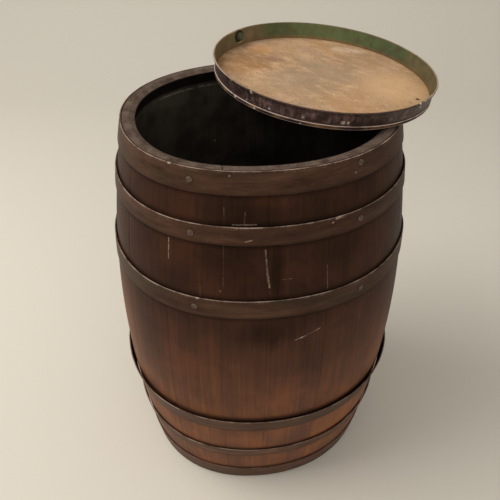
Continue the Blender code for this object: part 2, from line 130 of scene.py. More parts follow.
def waves(angle: Grid, seed: int, counts: tuple[int, ...]) -> Grid:
    """A gentle wander round a circle: a sum of cosines, each weaker in step with its count.

    Args:
        angle: azimuths in degrees.
        seed: picks the phases.
        counts: how many waves go round the circle, one cosine for each.

    Returns:
        The wander at each azimuth, within about -1 to 1.
    """
    phases = np.random.default_rng(seed).uniform(0.0, 2.0 * np.pi, len(counts))
    weights = np.array([counts[0] / count for count in counts])
    turned = np.radians(angle)[..., None] * np.array(counts) + phases
    return (np.cos(turned) * weights).sum(-1) / weights.sum()


def rounded(corners: list[tuple[float, float, float]], step: float) -> Grid:
    """A closed outline with its corners rounded and its long sides divided.

    Each corner is cut back by its radius times the tangent of half its turn and replaced by an
    arc; the side between two arcs is divided evenly into pieces no longer than step.

    Args:
        corners: (x, y, radius) of each corner in order.
        step: the longest piece of a side.

    Returns:
        The outline's points, one row each.
    """
    places = np.array([(x, y) for x, y, _ in corners])
    before = np.roll(places, 1, axis=0)
    after = np.roll(places, -1, axis=0)
    runs = []
    for place, back, ahead, (_, _, radius) in zip(places, before, after, corners):
        into = (place - back) / np.linalg.norm(place - back)
        out = (ahead - place) / np.linalg.norm(ahead - place)
        turn = math.atan2(into[0] * out[1] - into[1] * out[0], float(into @ out))
        if radius <= 0.0 or abs(turn) < STRAIGHT:
            runs.append(place[None, :])
            continue
        cut = radius * math.tan(abs(turn) / 2.0)
        side = math.copysign(1.0, turn) * np.array([-into[1], into[0]])
        centre = place - into * cut + side * radius
        angles = turn * np.linspace(0.0, 1.0, CORNER_STEPS + 1)[:, None]
        spoke = -side * radius
        crossed = np.array([-spoke[1], spoke[0]])
        runs.append(centre + spoke * np.cos(angles) + crossed * np.sin(angles))
    points = []
    for run, following in zip(runs, runs[1:] + runs[:1]):
        gap = following[0] - run[-1]
        pieces = max(1, math.ceil(float(np.linalg.norm(gap)) / step))
        shares = (np.arange(1, pieces) / pieces)[:, None]
        points.append(run)
        points.append(run[-1] + gap * shares)
    return np.concatenate(points)


def shrunk(outline: Grid, by: float) -> Grid:
    """An outline drawn inwards along its own normals.

    Args:
        outline: the points of a closed outline, one row each.
        by: how far each point moves in.

    Returns:
        The outline drawn inwards.
    """
    ahead = np.roll(outline, -1, axis=0)
    back = np.roll(outline, 1, axis=0)
    along = ahead - back
    along /= np.linalg.norm(along, axis=1)[:, None]
    area = (outline[:, 0] * ahead[:, 1] - outline[:, 1] * ahead[:, 0]).sum()
    inwards = np.stack([-along[:, 1], along[:, 0]], axis=1) * math.copysign(1.0, area)
    return outline + inwards * by


# Surfaces

@dataclass
class Skin:
    """A surface on a grid of points, rows by columns, with values that ride on its points.

    Where one direction is a ring and the other isn't, a flat face closes each open end.
    """

    points: Grid
    row_ring: bool = False
    column_ring: bool = False
    fields: dict[str, Grid] = field(default_factory=dict)
    finishes: Grid | None = None

    def faces(self) -> tuple[Grid, list[Grid]]:
        """Corner numbers of the grid's four-sided faces, and of the flat faces at its open ends.

        Returns:
            The quads, one row each, and the end faces.
        """
        rows, columns = self.points.shape[:2]
        number = np.arange(rows * columns).reshape(rows, columns)
        lower = number if self.row_ring else number[:-1]
        upper = np.roll(number, -1, axis=0) if self.row_ring else number[1:]
        if not self.column_ring:
            quads = np.stack([lower[:, :-1], lower[:, 1:], upper[:, 1:], upper[:, :-1]], axis=-1)
        else:
            ahead = (np.roll(lower, -1, axis=1), np.roll(upper, -1, axis=1))
            quads = np.stack([lower, ahead[0], ahead[1], upper], axis=-1)
        ends = []
        if self.row_ring and not self.column_ring:
            ends = [number[:, 0], number[::-1, -1]]
        if self.column_ring and not self.row_ring:
            ends = [number[0][::-1], number[-1]]
        return quads, ends

    def volume(self, quads: Grid, ends: list[Grid]) -> float:
        """Six times the volume inside the faces: the sum of their triangles' triple products.

        Args:
            quads: corner numbers of the four-sided faces.
            ends: corner numbers of the end faces.

        Returns:
            A number that is positive where the faces point outwards.
        """
        flat = self.points.reshape(-1, 3)
        corners = flat[quads.reshape(-1, 4)]
        triangles = [corners[:, [0, 1, 2]], corners[:, [0, 2, 3]]]
        for end in ends:
            loop = flat[end]
            hub = np.broadcast_to(loop[0], loop[1:-1].shape)
            triangles.append(np.stack([hub, loop[1:-1], loop[2:]], axis=1))
        every = np.concatenate(triangles)
        return float(np.einsum("ij,ij->", every[:, 0], np.cross(every[:, 1], every[:, 2])))

    def build(self, name: str, finishes: list[bpy.types.Material]) -> bpy.types.Object:
        """Puts the surface into the scene with its faces pointing outwards.

        Args:
            name: the piece's name.
            finishes: its materials, in the order that the finish numbers use.

        Returns:
            The new object, at the origin.
        """
        quads, ends = self.faces()
        sides = quads.reshape(-1, 4)
        order = slice(None, None, -1 if self.volume(quads, ends) < 0.0 else 1)
        loops = [sides[:, order].ravel()] + [end[order] for end in ends]
        counts = np.concatenate([np.full(len(sides), 4), [len(end) for end in ends]])
        mesh = bpy.data.meshes.new(name)
        mesh.vertices.add(self.points.size // 3)
        mesh.vertices.foreach_set("co", self.points.astype(np.float32).ravel())
        corners = np.concatenate(loops).astype(np.int32)
        mesh.loops.add(corners.size)
        mesh.loops.foreach_set("vertex_index", corners)
        starts = np.concatenate([[0], np.cumsum(counts)[:-1]]).astype(np.int32)
        mesh.polygons.add(counts.size)
        mesh.polygons.foreach_set("loop_start", starts)
        mesh.polygons.foreach_set("loop_total", counts.astype(np.int32))
        for key, values in self.fields.items():
            kind, item = ("FLOAT_VECTOR", "vector") if values.ndim == 3 else ("FLOAT", "value")
            layer = mesh.attributes.new(key, kind, "POINT")
            layer.data.foreach_set(item, values.astype(np.float32).ravel())
        for finish in finishes:
            mesh.materials.append(finish)
        if self.finishes is not None:
            numbers = np.zeros(counts.size, np.int32)
            numbers[:len(sides)] = self.finishes.ravel()
            mesh.polygons.foreach_set("material_index", numbers)
        mesh.update(calc_edges=True)
        mesh.shade_smooth()
        mesh.set_sharp_from_angle(angle=math.radians(SHARP_DEGREES))
        made = bpy.data.objects.new(name, mesh)
        bpy.context.scene.collection.objects.link(made)
        return made


def lathe(profile: Grid, sides: int) -> Grid:
    """A profile carried round the Z axis.

    Args:
        profile: (radius, height) of each point, one row each.
        sides: how many places round the axis.

    Returns:
        Points, one row for each point of the profile and one column for each place.
    """
    angle = np.linspace(0.0, 2.0 * np.pi, sides, endpoint=False)
    radius = profile[:, :1]
    x = radius * np.cos(angle)
    y = radius * np.sin(angle)
    z = np.broadcast_to(profile[:, 1:], x.shape)
    return np.stack([x, y, z], axis=-1)


def moved(points: Grid, place: Matrix) -> Grid:
    """Points carried by a matrix.

    Args:
        points: any array of points.
        place: the matrix that carries them.

    Returns:
        The points where the matrix puts them.
    """
    table = np.array(place)
    return points @ table[:3, :3].T + table[:3, 3]


def dress(piece: bpy.types.Object, body: Body, stands_for: list[str]) -> None:
    """Hands a finished piece to the frame: its body and the nodes that it stands for.

    Args:
        piece: the finished piece.
        body: the body that it moves with.
        stands_for: the nodes that it replaces.
    """
    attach(piece, body.value)
    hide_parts(*stands_for)
    log.info("%s: %d faces", piece.name, len(piece.data.polygons))


# Shader sums

@dataclass(frozen=True)
class Noise:
    """A noise about 0.5: its scale, in all or each way, and how many finer ones it has, how strong."""

    scale: float | Triple
    detail: float = 3.0
    rough: float = 0.5
    shift: Triple = (0.0, 0.0, 0.0)


class Wire:
    """A shader socket that takes part in sums; each sum adds one Math node."""

    def __init__(self, graph: "Graph", socket: bpy.types.NodeSocket) -> None:
        """Wraps a socket of a graph."""
        self.graph = graph
        self.socket = socket

    def sum(self, operation: str, *others: "Wire | float") -> "Wire":
        """One Math node on this socket and up to two others.

        Args:
            operation: the Math node's operation.
            others: its other inputs.

        Returns:
            The node's result.
        """
        values = dict(enumerate((self, *others)))
        return self.graph.node("ShaderNodeMath", {"operation": operation}, values)

    def __add__(self, other: "Wire | float") -> "Wire":
        """This plus other."""
        return self.sum("ADD", other)

    __radd__ = __add__

    def __mul__(self, other: "Wire | float") -> "Wire":
        """This times other."""
        return self.sum("MULTIPLY", other)

    __rmul__ = __mul__

    def __sub__(self, other: "Wire | float") -> "Wire":
        """This less other."""
        return self.sum("SUBTRACT", other)

    def __rsub__(self, other: float) -> "Wire":
        """Other less this."""
        return (self * -1.0) + other

    def __abs__(self) -> "Wire":
        """This without its sign."""
        return self.sum("ABSOLUTE")

    def __pow__(self, other: float) -> "Wire":
        """This to a power."""
        return self.sum("POWER", other)

    def least(self, other: "Wire | float") -> "Wire":
        """The lesser of this and other."""
        return self.sum("MINIMUM", other)

    def most(self, other: "Wire | float") -> "Wire":
        """The greater of this and other."""
        return self.sum("MAXIMUM", other)

    def rise(self, low: float, high: float) -> "Wire":
        """A smooth ramp that is 0 where this is low and 1 where it is high.

        Args:
            low: the value for 0.
            high: the value for 1, which may be the smaller of the two.

        Returns:
            The ramp, kept within 0 and 1.
        """
        if high < low:
            return 1.0 - self.rise(high, low)
        settings = {"interpolation_type": "SMOOTHSTEP"}
        values = {"Value": self, "From Min": low, "From Max": high, "To Min": 0.0, "To Max": 1.0}
        return self.graph.node("ShaderNodeMapRange", settings, values)

    def within(self, *spans: Span) -> "Wire":
        """The product of some smooth ramps of this, each 0 and 1 at its span's two values."""
        return math.prod(self.rise(*span) for span in spans)

    def apart(self, other: "Wire") -> "Wire":
        """How far off a place is that lies this far one way and other square to it."""
        return (self * self + other * other) ** 0.5


class Graph:
    """The nodes of one material, or of the world."""

    def __init__(self, name: str, world: bpy.types.World | None = None) -> None:
        """Starts a material with one Principled shader, or takes up the nodes of a world.

        Args:
            name: the material's name.
            world: the world, where the nodes are for it.
        """
        self.material = world or bpy.data.materials.new(name)
        self.material.use_nodes = True
        self.tree = self.material.node_tree
        self.shader = self.tree.nodes["Background" if world else "Principled BSDF"]

    def node(
        self,
        kind: str,
        settings: dict[str, object] | None = None,
        values: dict[int | str, object] | None = None,
        out: int | str = 0,
    ) -> Wire:
        """Adds a node of any kind.

        Args:
            kind: the node's type.
            settings: its properties, set first; "stops" is a colour ramp's (place, colour) list.
            values: what its sockets hold or are linked to.
            out: which of its outputs to hand back.

        Returns:
            The chosen output.
        """
        made = self.tree.nodes.new(kind)
        for key, value in (settings or {}).items():
            if key == "stops":
                self.set_stops(made.color_ramp, value)
            else:
                setattr(made, key, value)
        for key, value in (values or {}).items():
            if isinstance(value, Wire):
                self.tree.links.new(value.socket, made.inputs[key])
            else:
                made.inputs[key].default_value = value
        return Wire(self, made.outputs[out])

    @staticmethod
    def set_stops(ramp: bpy.types.ColorRamp, stops: list[tuple[float, Colour]]) -> None:
        """Gives a colour ramp its stops.

        Args:
            ramp: the colour ramp.
            stops: the place and colour of each stop, in order.
        """
        while len(ramp.elements) < len(stops):
            ramp.elements.new(1.0)
        for element, (place, shade) in zip(ramp.elements, stops):
            element.position = place
            element.color = shade

    def field(self, name: str) -> Wire:
        """A number that rides on the piece's points."""
        return self.node("ShaderNodeAttribute", {"attribute_name": name}, out="Fac")

    def place(self, name: str) -> Wire:
        """A vector that rides on the piece's points."""
        return self.node("ShaderNodeAttribute", {"attribute_name": name}, out="Vector")

    def parts(self, vector: Wire) -> tuple[Wire, Wire, Wire]:
        """The three numbers of a vector."""
        split = self.node("ShaderNodeSeparateXYZ", values={0: vector})
        outputs = split.socket.node.outputs
        return split, Wire(self, outputs[1]), Wire(self, outputs[2])

    def vector(self, x: Wire | float, y: Wire | float, z: Wire | float) -> Wire:
        """A vector from three numbers."""
        return self.node("ShaderNodeCombineXYZ", values={0: x, 1: y, 2: z})

    def scaled(self, vector: Wire | Triple, by: Wire) -> Wire:
        """A colour or a vector times a number."""
        return self.node("ShaderNodeVectorMath", {"operation": "SCALE"}, {0: vector, "Scale": by})

    def noise(self, at: Wire, noise: Noise, shift: Wire | None = None) -> Wire:
        """A noise, which is drawn out the ways in which its scale is small.

        Args:
            at: the place at which it is read.
            noise: its values.
            shift: what is added to the scaled place, instead of the noise's own shift.

        Returns:
            The noise.
        """
        scale = (noise.scale,) * 3 if isinstance(noise.scale, float) else noise.scale
        values = {0: at, 1: scale, 2: shift or noise.shift}
        spot = self.node("ShaderNodeVectorMath", {"operation": "MULTIPLY_ADD"}, values)
        values = {"Vector": spot, "Scale": 1.0, "Detail": noise.detail, "Roughness": noise.rough}
        return self.node("ShaderNodeTexNoise", values=values)

    def blend(self, share: Wire, first: Wire | Colour, second: Wire | Colour) -> Wire:
        """A colour a share of the way from first to second."""
        settings = {"data_type": "RGBA", "clamp_factor": True}
        return self.node("ShaderNodeMix", settings, {0: share, 6: first, 7: second}, out=2)

    def layered(self, shade: Wire | Colour, *coats: tuple[Wire, Wire | Colour]) -> Wire:
        """Lays coats over a colour, each one over those before it.

        Args:
            shade: the colour underneath.
            coats: each coat's share and its colour.

        Returns:
            The colour on top.
        """
        for share, tint in coats:
            shade = self.blend(share, shade, tint)
        return shade

    def finish(
        self, shade: Wire, rough: Wire, relief: Wire, depth: float, gloss: float, sheen: Colour = WHITE,
    ) -> bpy.types.Material:
        """Joins the finished wires to the shader.

        Args:
            shade: the colour.
            rough: the roughness.
            relief: the fine relief, about 0 to 1.
            depth: the relief's height in metres.
            gloss: the strength of its reflections.
            sheen: their tint.

        Returns:
            The finished material.
        """
        bump = self.node("ShaderNodeBump", values={"Strength": 1.0, "Distance": depth, "Height": relief})
        wires = {"Base Color": shade, "Roughness": rough, "Normal": bump}
        for key, wire in wires.items():
            self.tree.links.new(wire.socket, self.shader.inputs[key])
        self.shader.inputs["Specular IOR Level"].default_value = gloss
        self.shader.inputs["Specular Tint"].default_value = sheen
        return self.material


# Blemishes, each with the shares of its reach at which it is gone and at which it is full

@dataclass(frozen=True)
class Mark:
    """A scratch or speck: a line between two places on the cask, by azimuth and height."""

    azimuth: float
    height: float
    to_azimuth: float
    to_height: float
    half_width: float
    strength: float
    edge: Span = (1.25, 0.35)

    def mask(self, arc: Wire, height: Wire, per_degree: float, ragged: Wire | float) -> Wire:
        """Where the mark lies, by the distance to the nearest place on its line.

        That place's share of the line is the offset from the line's start, projected on the line
        and kept within 0 and 1.

        Args:
            arc: lengths round the cask.
            height: heights.
            per_degree: the length round the cask for each degree.
            ragged: a length added to the distance, which frays the mark's sides.

        Returns:
            0 off the mark, up to its strength on it.
        """
        run = (self.to_azimuth - self.azimuth) * per_degree
        climb = self.to_height - self.height
        square = run * run + climb * climb
        across = arc - self.azimuth * per_degree
        up = height - self.height
        share = (across * (run / square) + up * (climb / square)).most(0.0).least(1.0)
        distance = (across - share * run).apart(up - share * climb) + ragged
        gone, full = self.edge
        return distance.rise(self.half_width * gone, self.half_width * full) * self.strength


@dataclass(frozen=True)
class Patch:
    """A soft stain on the cask: its middle by azimuth and height, its reach each way and strength."""

    azimuth: float
    height: float
    half_across: float
    half_up: float
    strength: float
    edge: Span = (1.3, 0.25)

    def mask(self, arc: Wire, height: Wire, per_degree: float, ragged: Wire | float) -> Wire:
        """Where the stain lies, by the distance over its reach.

        Args:
            arc: lengths round the cask.
            height: heights.
            per_degree: the length round the cask for each degree.
            ragged: noise added to the distance.

        Returns:
            0 off the stain, up to its strength in its middle.
        """
        across = (arc - self.azimuth * per_degree) * (1.0 / self.half_across)
        up = (height - self.height) * (1.0 / self.half_up)
        return (across.apart(up) + ragged).rise(*self.edge) * self.strength


@dataclass(frozen=True)
class Stain:
    """A stain on the pan: its middle in the tray's frame, its reach, colour and strength."""

    x: float
    y: float
    reach: float
    shade: Colour
    strength: float
    edge: Span = (1.25, 0.35)

    def mask(self, x: Wire, y: Wire, ragged: Wire) -> Wire:
        """Where the stain lies, by the distance over its reach.

        Args:
            x: places along X in the tray's frame.
            y: places along Y.
            ragged: noise added to the distance.

        Returns:
            0 off the stain, up to its strength in its middle.
        """
        across = (x - self.x) * (1.0 / self.reach)
        along = (y - self.y) * (1.0 / self.reach)
        return (across.apart(along) + ragged).rise(*self.edge) * self.strength


@dataclass(frozen=True)
class Chip:
    """A place where paint is off the tray's wall, by azimuth and height in the tray's frame."""

    azimuth: float
    height: float
    radius: float
    strength: float
    edge: Span = (1.0, 0.5)

    def mask(self, own: Wire, around: float, ragged: Wire) -> Wire:
        """Where the chip is, by the distance from its middle.

        Args:
            own: places in the tray's frame.
            around: the radius of the wall that it is on.
            ragged: a length added to the distance.

        Returns:
            0 off the chip, up to its strength on it.
        """
        angle = math.radians(self.azimuth)
        middle = (around * math.cos(angle), around * math.sin(angle), self.height)
        settings = {"operation": "DISTANCE"}
        apart = own.graph.node("ShaderNodeVectorMath", settings, {0: own, 1: middle}, out="Value")
        gone, full = self.edge
        return (apart + ragged).rise(self.radius * gone, self.radius * full) * self.strength


def marked(
    blemishes: tuple[Mark | Patch, ...], arc: Wire, height: Wire, per_degree: float,
    ragged: Wire | float = 0.0,
) -> Wire:
    """Where any of some marks or patches on the cask lies: the sum of their masks."""
    return sum(each.mask(arc, height, per_degree, ragged) for each in blemishes)


# Finishes

@dataclass(frozen=True)
class OakOutside:
    """Dark stained and waxed oak, warmer and paler towards the foot by painted floor bounce, and grimy
    beside the hoops.
    """

    dark: Colour = colour("#2a1f1b")
    middle: Colour = colour("#483026")
    light: Colour = colour("#764b27")
    # Painted bounce light, amber, low on the left side
    painted_bounce: Colour = colour("#86532f")
    red: Colour = colour("#573428")
    # Grime, and painted shade on the inner edge of the end faces
    grime_and_shade: Colour = colour("#120d0a")
    scratch: Colour = colour("#958475")
    rim_dark: Colour = colour("#40332d")
    rim_pale: Colour = colour("#695a51")
    crack: Colour = colour("#0a0706")
    sheen: Colour = colour("#dcae84")
    clouds: Noise = Noise(15.0, 3.0, 0.55)
    broad: Noise = Noise((24.0, 24.0, 4.0))
    streaks: Noise = Noise((210.0, 210.0, 5.0), 5.0, 0.62)
    pores: Noise = Noise((1500.0, 1500.0, 42.0), 3.0, 0.6)
    blots: Noise = Noise(60.0, 4.0, 0.62)
    specks: Noise = Noise(520.0, 3.0, 0.65)
    breaks: Noise = Noise(260.0, 3.0, 0.7)
    foot_heights: Span = (0.43, 0.12)
    # Where the painted amber bounce lies: its azimuths and heights
    side_bounce_azimuths: tuple[Span, Span] = ((-132.0, -156.0), (-179.0, -164.0))
    side_bounce_heights: Span = (0.45, 0.33)
    front_azimuths: tuple[Span, Span] = ((-179.0, -150.0), (8.0, -26.0))
    rim_depths: Span = (0.0003, 0.0012)
    # Depths over which the end faces take painted shade towards the inside
    rim_shade_depths: Span = (0.0168, 0.0184)
    # Painted floor bounce: the colour's gain at the head, and how much painted bounce adds towards the
    # foot
    head_shade_gain: float = 0.60
    bounce_gain: float = 1.28
    relief: float = 0.0004
    gloss: float = 0.05

    def material(self, staves: "Staves", hoops: "Hoops") -> bpy.types.Material:
        """The wood's material.

        Long streaks are noise stretched along the stave, pores a finer and longer one, and each
        stave has its own tone. The end faces are greyer, with painted shade on their inner edge.
        Painted floor bounce lifts the colour towards the foot, most at the front, and a painted
        amber bounce lies low on the left; dirt darkens it by height, beside the hoops.

        Args:
            staves: the staves, with their scratches, stains and cracks.
            hoops: the hoops, which dirt gathers beside.

        Returns:
            The finished material.
        """
        cask = staves.cask
        graph = Graph("waxed_oak")
        wood = graph.place("wood")
        tone = graph.field("tone")
        turn = graph.field("azimuth")
        _, depth, along = graph.parts(wood)
        arc = turn * cask.per_degree
        spot = graph.vector(arc, along, 0.0)
        shift = graph.scaled(STAVE_SHIFT, tone)
        clouds = graph.noise(spot, self.clouds)
        broad = graph.noise(wood, self.broad, shift)
        streaks = graph.noise(wood, self.streaks, shift)
        pores = graph.noise(wood, self.pores, shift)
        blots = graph.noise(graph.vector(arc, along, depth), self.blots)
        specks = graph.noise(wood, self.specks)
        # Painted floor bounce: towards the foot the mix is lighter and the colour is scaled up, most
        # across the front
        foot = along.rise(*self.foot_heights)
        share = broad * 0.3 + streaks * 0.32 + clouds * 0.42 + tone * 0.13 + foot * 0.12 - 0.125
        # Painted bounce light: an amber band low on the left side
        side_bounce = turn.within(*self.side_bounce_azimuths) * along.rise(*self.side_bounce_heights)
        shade = graph.layered(
            self.dark,
            (share.rise(0.18, 0.58), self.middle),
            (share.rise(0.48, 0.86) * 0.8, self.light),
            (clouds.rise(0.5, 0.64) * 0.3, self.red),
            (side_bounce * (broad * 0.3 + 0.1), self.painted_bounce),
        )
        front = turn.within(*self.front_azimuths)
        painted_light_gain = foot * (front * 0.55 + 0.45) * self.bounce_gain + self.head_shade_gain
        shade = graph.scaled(shade, (1.07 - pores.rise(0.5, 0.72) * 0.25) * painted_light_gain)
        fray = (streaks - 0.5) * 0.8 + (clouds - 0.5)
        stain = marked(staves.patches, arc, along, cask.per_degree, fray)
        share_up = along * (1.0 / cask.height)
        grit = graph.node("ShaderNodeValToRGB", {"stops": hoops.dirt()}, {0: share_up})
        dirty = (grit * (broad * 0.8 + streaks * 0.9 - 0.28)).most(0.0)
        rim = depth.rise(*self.rim_depths)
        worn = blots * 0.65 + specks * 0.45
        # Painted shade on the end faces' inner edge, towards the inside of the cask
        inner_edge_shade = (depth + (blots - 0.5) * 0.003).rise(*self.rim_shade_depths)
        rim_shade = graph.layered(
            self.rim_dark,
            (worn.rise(0.36, 0.72), self.rim_pale),
            (inner_edge_shade * 0.85, self.grime_and_shade),
        )
        fray = (streaks - 0.5) * 0.0018 + (specks - 0.5) * 0.0012
        scratches = marked(staves.marks, arc, along, cask.per_degree, fray)
        broken = graph.noise(spot, self.breaks).rise(0.42, 0.6) * 0.8 + 0.2
        split = marked(staves.cracks, arc, depth, cask.per_degree, (specks - 0.5) * 0.002) * rim
        shade = graph.layered(
            shade,
            ((stain + dirty).least(0.9), self.grime_and_shade),
            (rim, rim_shade),
            (scratches * broken, self.scratch),
            (split, self.crack),
        )
        rough = 0.36 + streaks * 0.1 + rim * 0.22 + pores * 0.05 + dirty * 0.2
        relief = (streaks * 0.4 + pores * 0.25 + broad * 0.3) * (1.0 - rim) + worn * rim * 0.5 - split
        return graph.finish(shade, rough, relief, self.relief, self.gloss, self.sheen)


@dataclass(frozen=True)
class OakInside:
    """Bare dark oak inside the cask, with painted shade over the croze, painted light on the far side, and
    paler on the croze's lip.
    """

    # Painted shade in the howel over the croze
    black: Colour = colour("#120f0c")
    dark: Colour = colour("#201c18")
    light: Colour = colour("#3c362e")
    dusty: Colour = colour("#4d4943")
    lip: Colour = colour("#83786a")
    broad: Noise = Noise(22.0)
    streaks: Noise = Noise((160.0, 160.0, 7.0), 5.0, 0.6)
    # Painted light: azimuths over which the inside turns from darkened to lightened
    lit_azimuths: Span = (75.0, 118.0)
    dusty_azimuths: Span = (85.0, 118.0)
    dusty_heights: Span = (0.36, 0.51)
    lip_azimuths: Span = (153.0, 143.0)
    lip_width: float = 0.0016
    croze_edge: float = 0.002
    relief: float = 0.0008
    gloss: float = 0.1

    def material(self, staves: "Staves") -> bpy.types.Material:
        """The bare wood's material: streaks along the stave under a broad stain.

        Args:
            staves: the staves, with their pale specks.

        Returns:
            The finished material.
        """
        cask = staves.cask
        croze = cask.croze_from_end
        graph = Graph("bare_oak")
        wood = graph.place("wood")
        tone = graph.field("tone")
        turn = graph.field("azimuth")
        _, _, along = graph.parts(wood)
        arc = turn * cask.per_degree
        broad = graph.noise(graph.vector(arc, along, 0.0), self.broad)
        streaks = graph.noise(wood, self.streaks, graph.scaled(STAVE_SHIFT, tone))
        share = broad * 0.7 + streaks * 0.25 + tone * 0.2
        shade = graph.blend(share.rise(0.45, 0.85), self.dark, self.light)
        # Painted light and shade: the inside is darkened on the near side and lightened on the far side
        shade = graph.scaled(shade, turn.rise(*self.lit_azimuths) * 1.9 + 0.6)
        dust = turn.rise(*self.dusty_azimuths) * along.rise(*self.dusty_heights)
        under = (along - cask.height) * -1.0
        # Painted shade: the howel over the croze is made nearly black
        above = under.rise(croze + self.croze_edge, croze - self.croze_edge)
        lip = abs(under - (croze + cask.croze_width + self.lip_width / 2.0))
        rubbed = lip.rise(self.lip_width, self.lip_width * 0.4) * turn.rise(*self.lip_azimuths)
        shade = graph.layered(
            shade,
            (dust * (broad.rise(0.35, 0.75) * 0.7 + 0.15), self.dusty),
            (above * 0.93, self.black),
            (rubbed * streaks.rise(0.35, 0.55) * 0.7, self.lip),
            (marked(staves.specks, arc, along, cask.per_degree), self.lip),
        )
        return graph.finish(shade, 0.75 + streaks * 0.2, streaks, self.relief, self.gloss)


@dataclass(frozen=True)
class HoopIron:
    """Band iron under dark brown lacquer, rubbed to a pale line on its upper edge."""

    dark: Colour = colour("#281a15")
    middle: Colour = colour("#412e25")
    light: Colour = colour("#5c4336")
    green: Colour = colour("#302b20")
    edge: Colour = colour("#a08c7f")
    sheen: Colour = colour("#dcb48e")
    band_shift: Triple = (3.0, 7.0, 5.0)
    broad: Noise = Noise((16.0, 55.0, 55.0), 4.0, 0.6)
    drawn: Noise = Noise((45.0, 700.0, 700.0), 4.0, 0.6)
    fine: Noise = Noise((420.0, 900.0, 900.0), 3.0, 0.6)
    tinge: Noise = Noise((9.0, 20.0, 20.0), 2.0)
    runs: Noise = Noise(30.0, 4.0, 0.7)
    # Painted light: where the hoops are lighter on the left side
    lit_side_azimuths: tuple[Span, Span] = ((-60.0, -150.0), (-250.0, -190.0))
    top_line: Span = (0.0005, 0.0001)
    top_fray: Span = (0.0036, 0.0004)
    second_line: float = 0.0024
    second_fade: Span = (0.0006, 0.0002)
    base_line: Span = (0.0008, 0.0002)
    # How far up from the lower edge the band is darker
    lower_edge_dark: Span = (0.0045, 0.0)
    # Painted floor bounce on the lower hoops
    bounce_gain: float = 0.75
    relief: float = 0.00025
    gloss: float = 0.07

    def material(self, hoops: "Hoops") -> bpy.types.Material:
        """The iron's material.

        Blotches run along the band. The rubbed line keeps to the upper face and its corner and is
        broken by noise, and the lower corner has a fainter one.

        Args:
            hoops: the hoops, with their scratches and flecks.

        Returns:
            The finished material.
        """
        per_degree = hoops.cask.per_degree
        graph = Graph("band_iron")
        band = graph.place("band")
        tone = graph.field("tone")
        turn = graph.field("azimuth")
        arc, up, under_top = graph.parts(band)
        shift = graph.scaled(self.band_shift, tone)
        broad = graph.noise(band, self.broad, shift)
        drawn = graph.noise(band, self.drawn, shift)
        fine = graph.noise(band, self.fine, shift)
        tinge = graph.noise(band, self.tinge, shift)
        run = graph.noise(graph.vector(arc, 0.0, tone), self.runs)
        share = broad * 0.6 + drawn * 0.3 + fine * 0.2
        shade = graph.layered(
            self.dark,
            (share.rise(0.36, 0.58), self.middle),
            (share.rise(0.55, 0.72) * 0.6, self.light),
            (tinge.rise(0.5, 0.66) * 0.4, self.green),
        )
        # Painted light: lighter on the left side, on the lower hoops as painted floor bounce, and a little
        # on the top hoop
        side = turn.within(*self.lit_side_azimuths) * 0.3
        painted_light_gain = tone.rise(0.35, 0.75) * self.bounce_gain + tone.rise(0.25, 0.12) * 0.12 + side + 0.94
        line = under_top.rise(*self.top_line) * (run.rise(0.38, 0.62) * 0.85 + 0.15)
        fray = under_top.rise(*self.top_fray) * fine.rise(0.56, 0.68) * run.rise(0.45, 0.58)
        second = abs(under_top - self.second_line).rise(*self.second_fade)
        second = second * fine.rise(0.4, 0.6) * run.rise(0.5, 0.62)
        base = up.rise(*self.base_line) * run.rise(0.42, 0.7)
        rubbed = line.most(fray * 0.8).most(base * 0.25).most(second * 0.4) * graph.field("wear")
        height = graph.field("height")
        scratches = marked(hoops.marks, turn * per_degree, height, per_degree, (fine - 0.5) * 0.0016)
        rubbed = (rubbed + scratches).least(1.0)
        shade = graph.layered(
            graph.scaled(shade, painted_light_gain),
            # Darker towards the lower edge
            (up.rise(*self.lower_edge_dark) * (broad * 0.6 + 0.2), self.dark),
            (rubbed, self.edge),
        )
        rough = 0.36 + broad * 0.18 - rubbed * 0.08
        relief = fine * 0.25 + broad * 0.75
        return graph.finish(shade, rough, relief, self.relief, self.gloss, self.sheen)


@dataclass(frozen=True)
class NailIron:
    """Small iron heads, dark round the side, with a pale ring round the crown that is partly rubbed wear
    and partly a painted highlight.
    """

    dark: Colour = colour("#33251d")
    bright: Colour = colour("#7a6759")
    spots: Noise = Noise(800.0, 3.0, 0.6)
    relief: float = 0.0006
    gloss: float = 0.25

    def material(self, name: str, rubbed: float) -> bpy.types.Material:
        """The heads' material, paler towards the crown.

        Args:
            name: the material's name.
            rubbed: how strongly the pale ring shows, 0 to 1; it is partly rubbed wear and partly painted
                highlight.

        Returns:
            The finished material.
        """
        graph = Graph(name)
        crown = graph.field("crown")
        spots = graph.noise(graph.place("own"), self.spots)
        # A pale ring, partly rubbed wear and partly painted highlight, fading a little at the very top
        ring = crown.rise(0.25, 0.6) * (1.0 - crown.rise(0.8, 1.0) * 0.55)
        share = ring * (spots.rise(0.44, 0.6) * 0.85 + 0.15) * rubbed
        shade = graph.blend(share, self.dark, self.bright)
        return graph.finish(shade, 0.45 - share * 0.1, spots, self.relief, self.gloss)


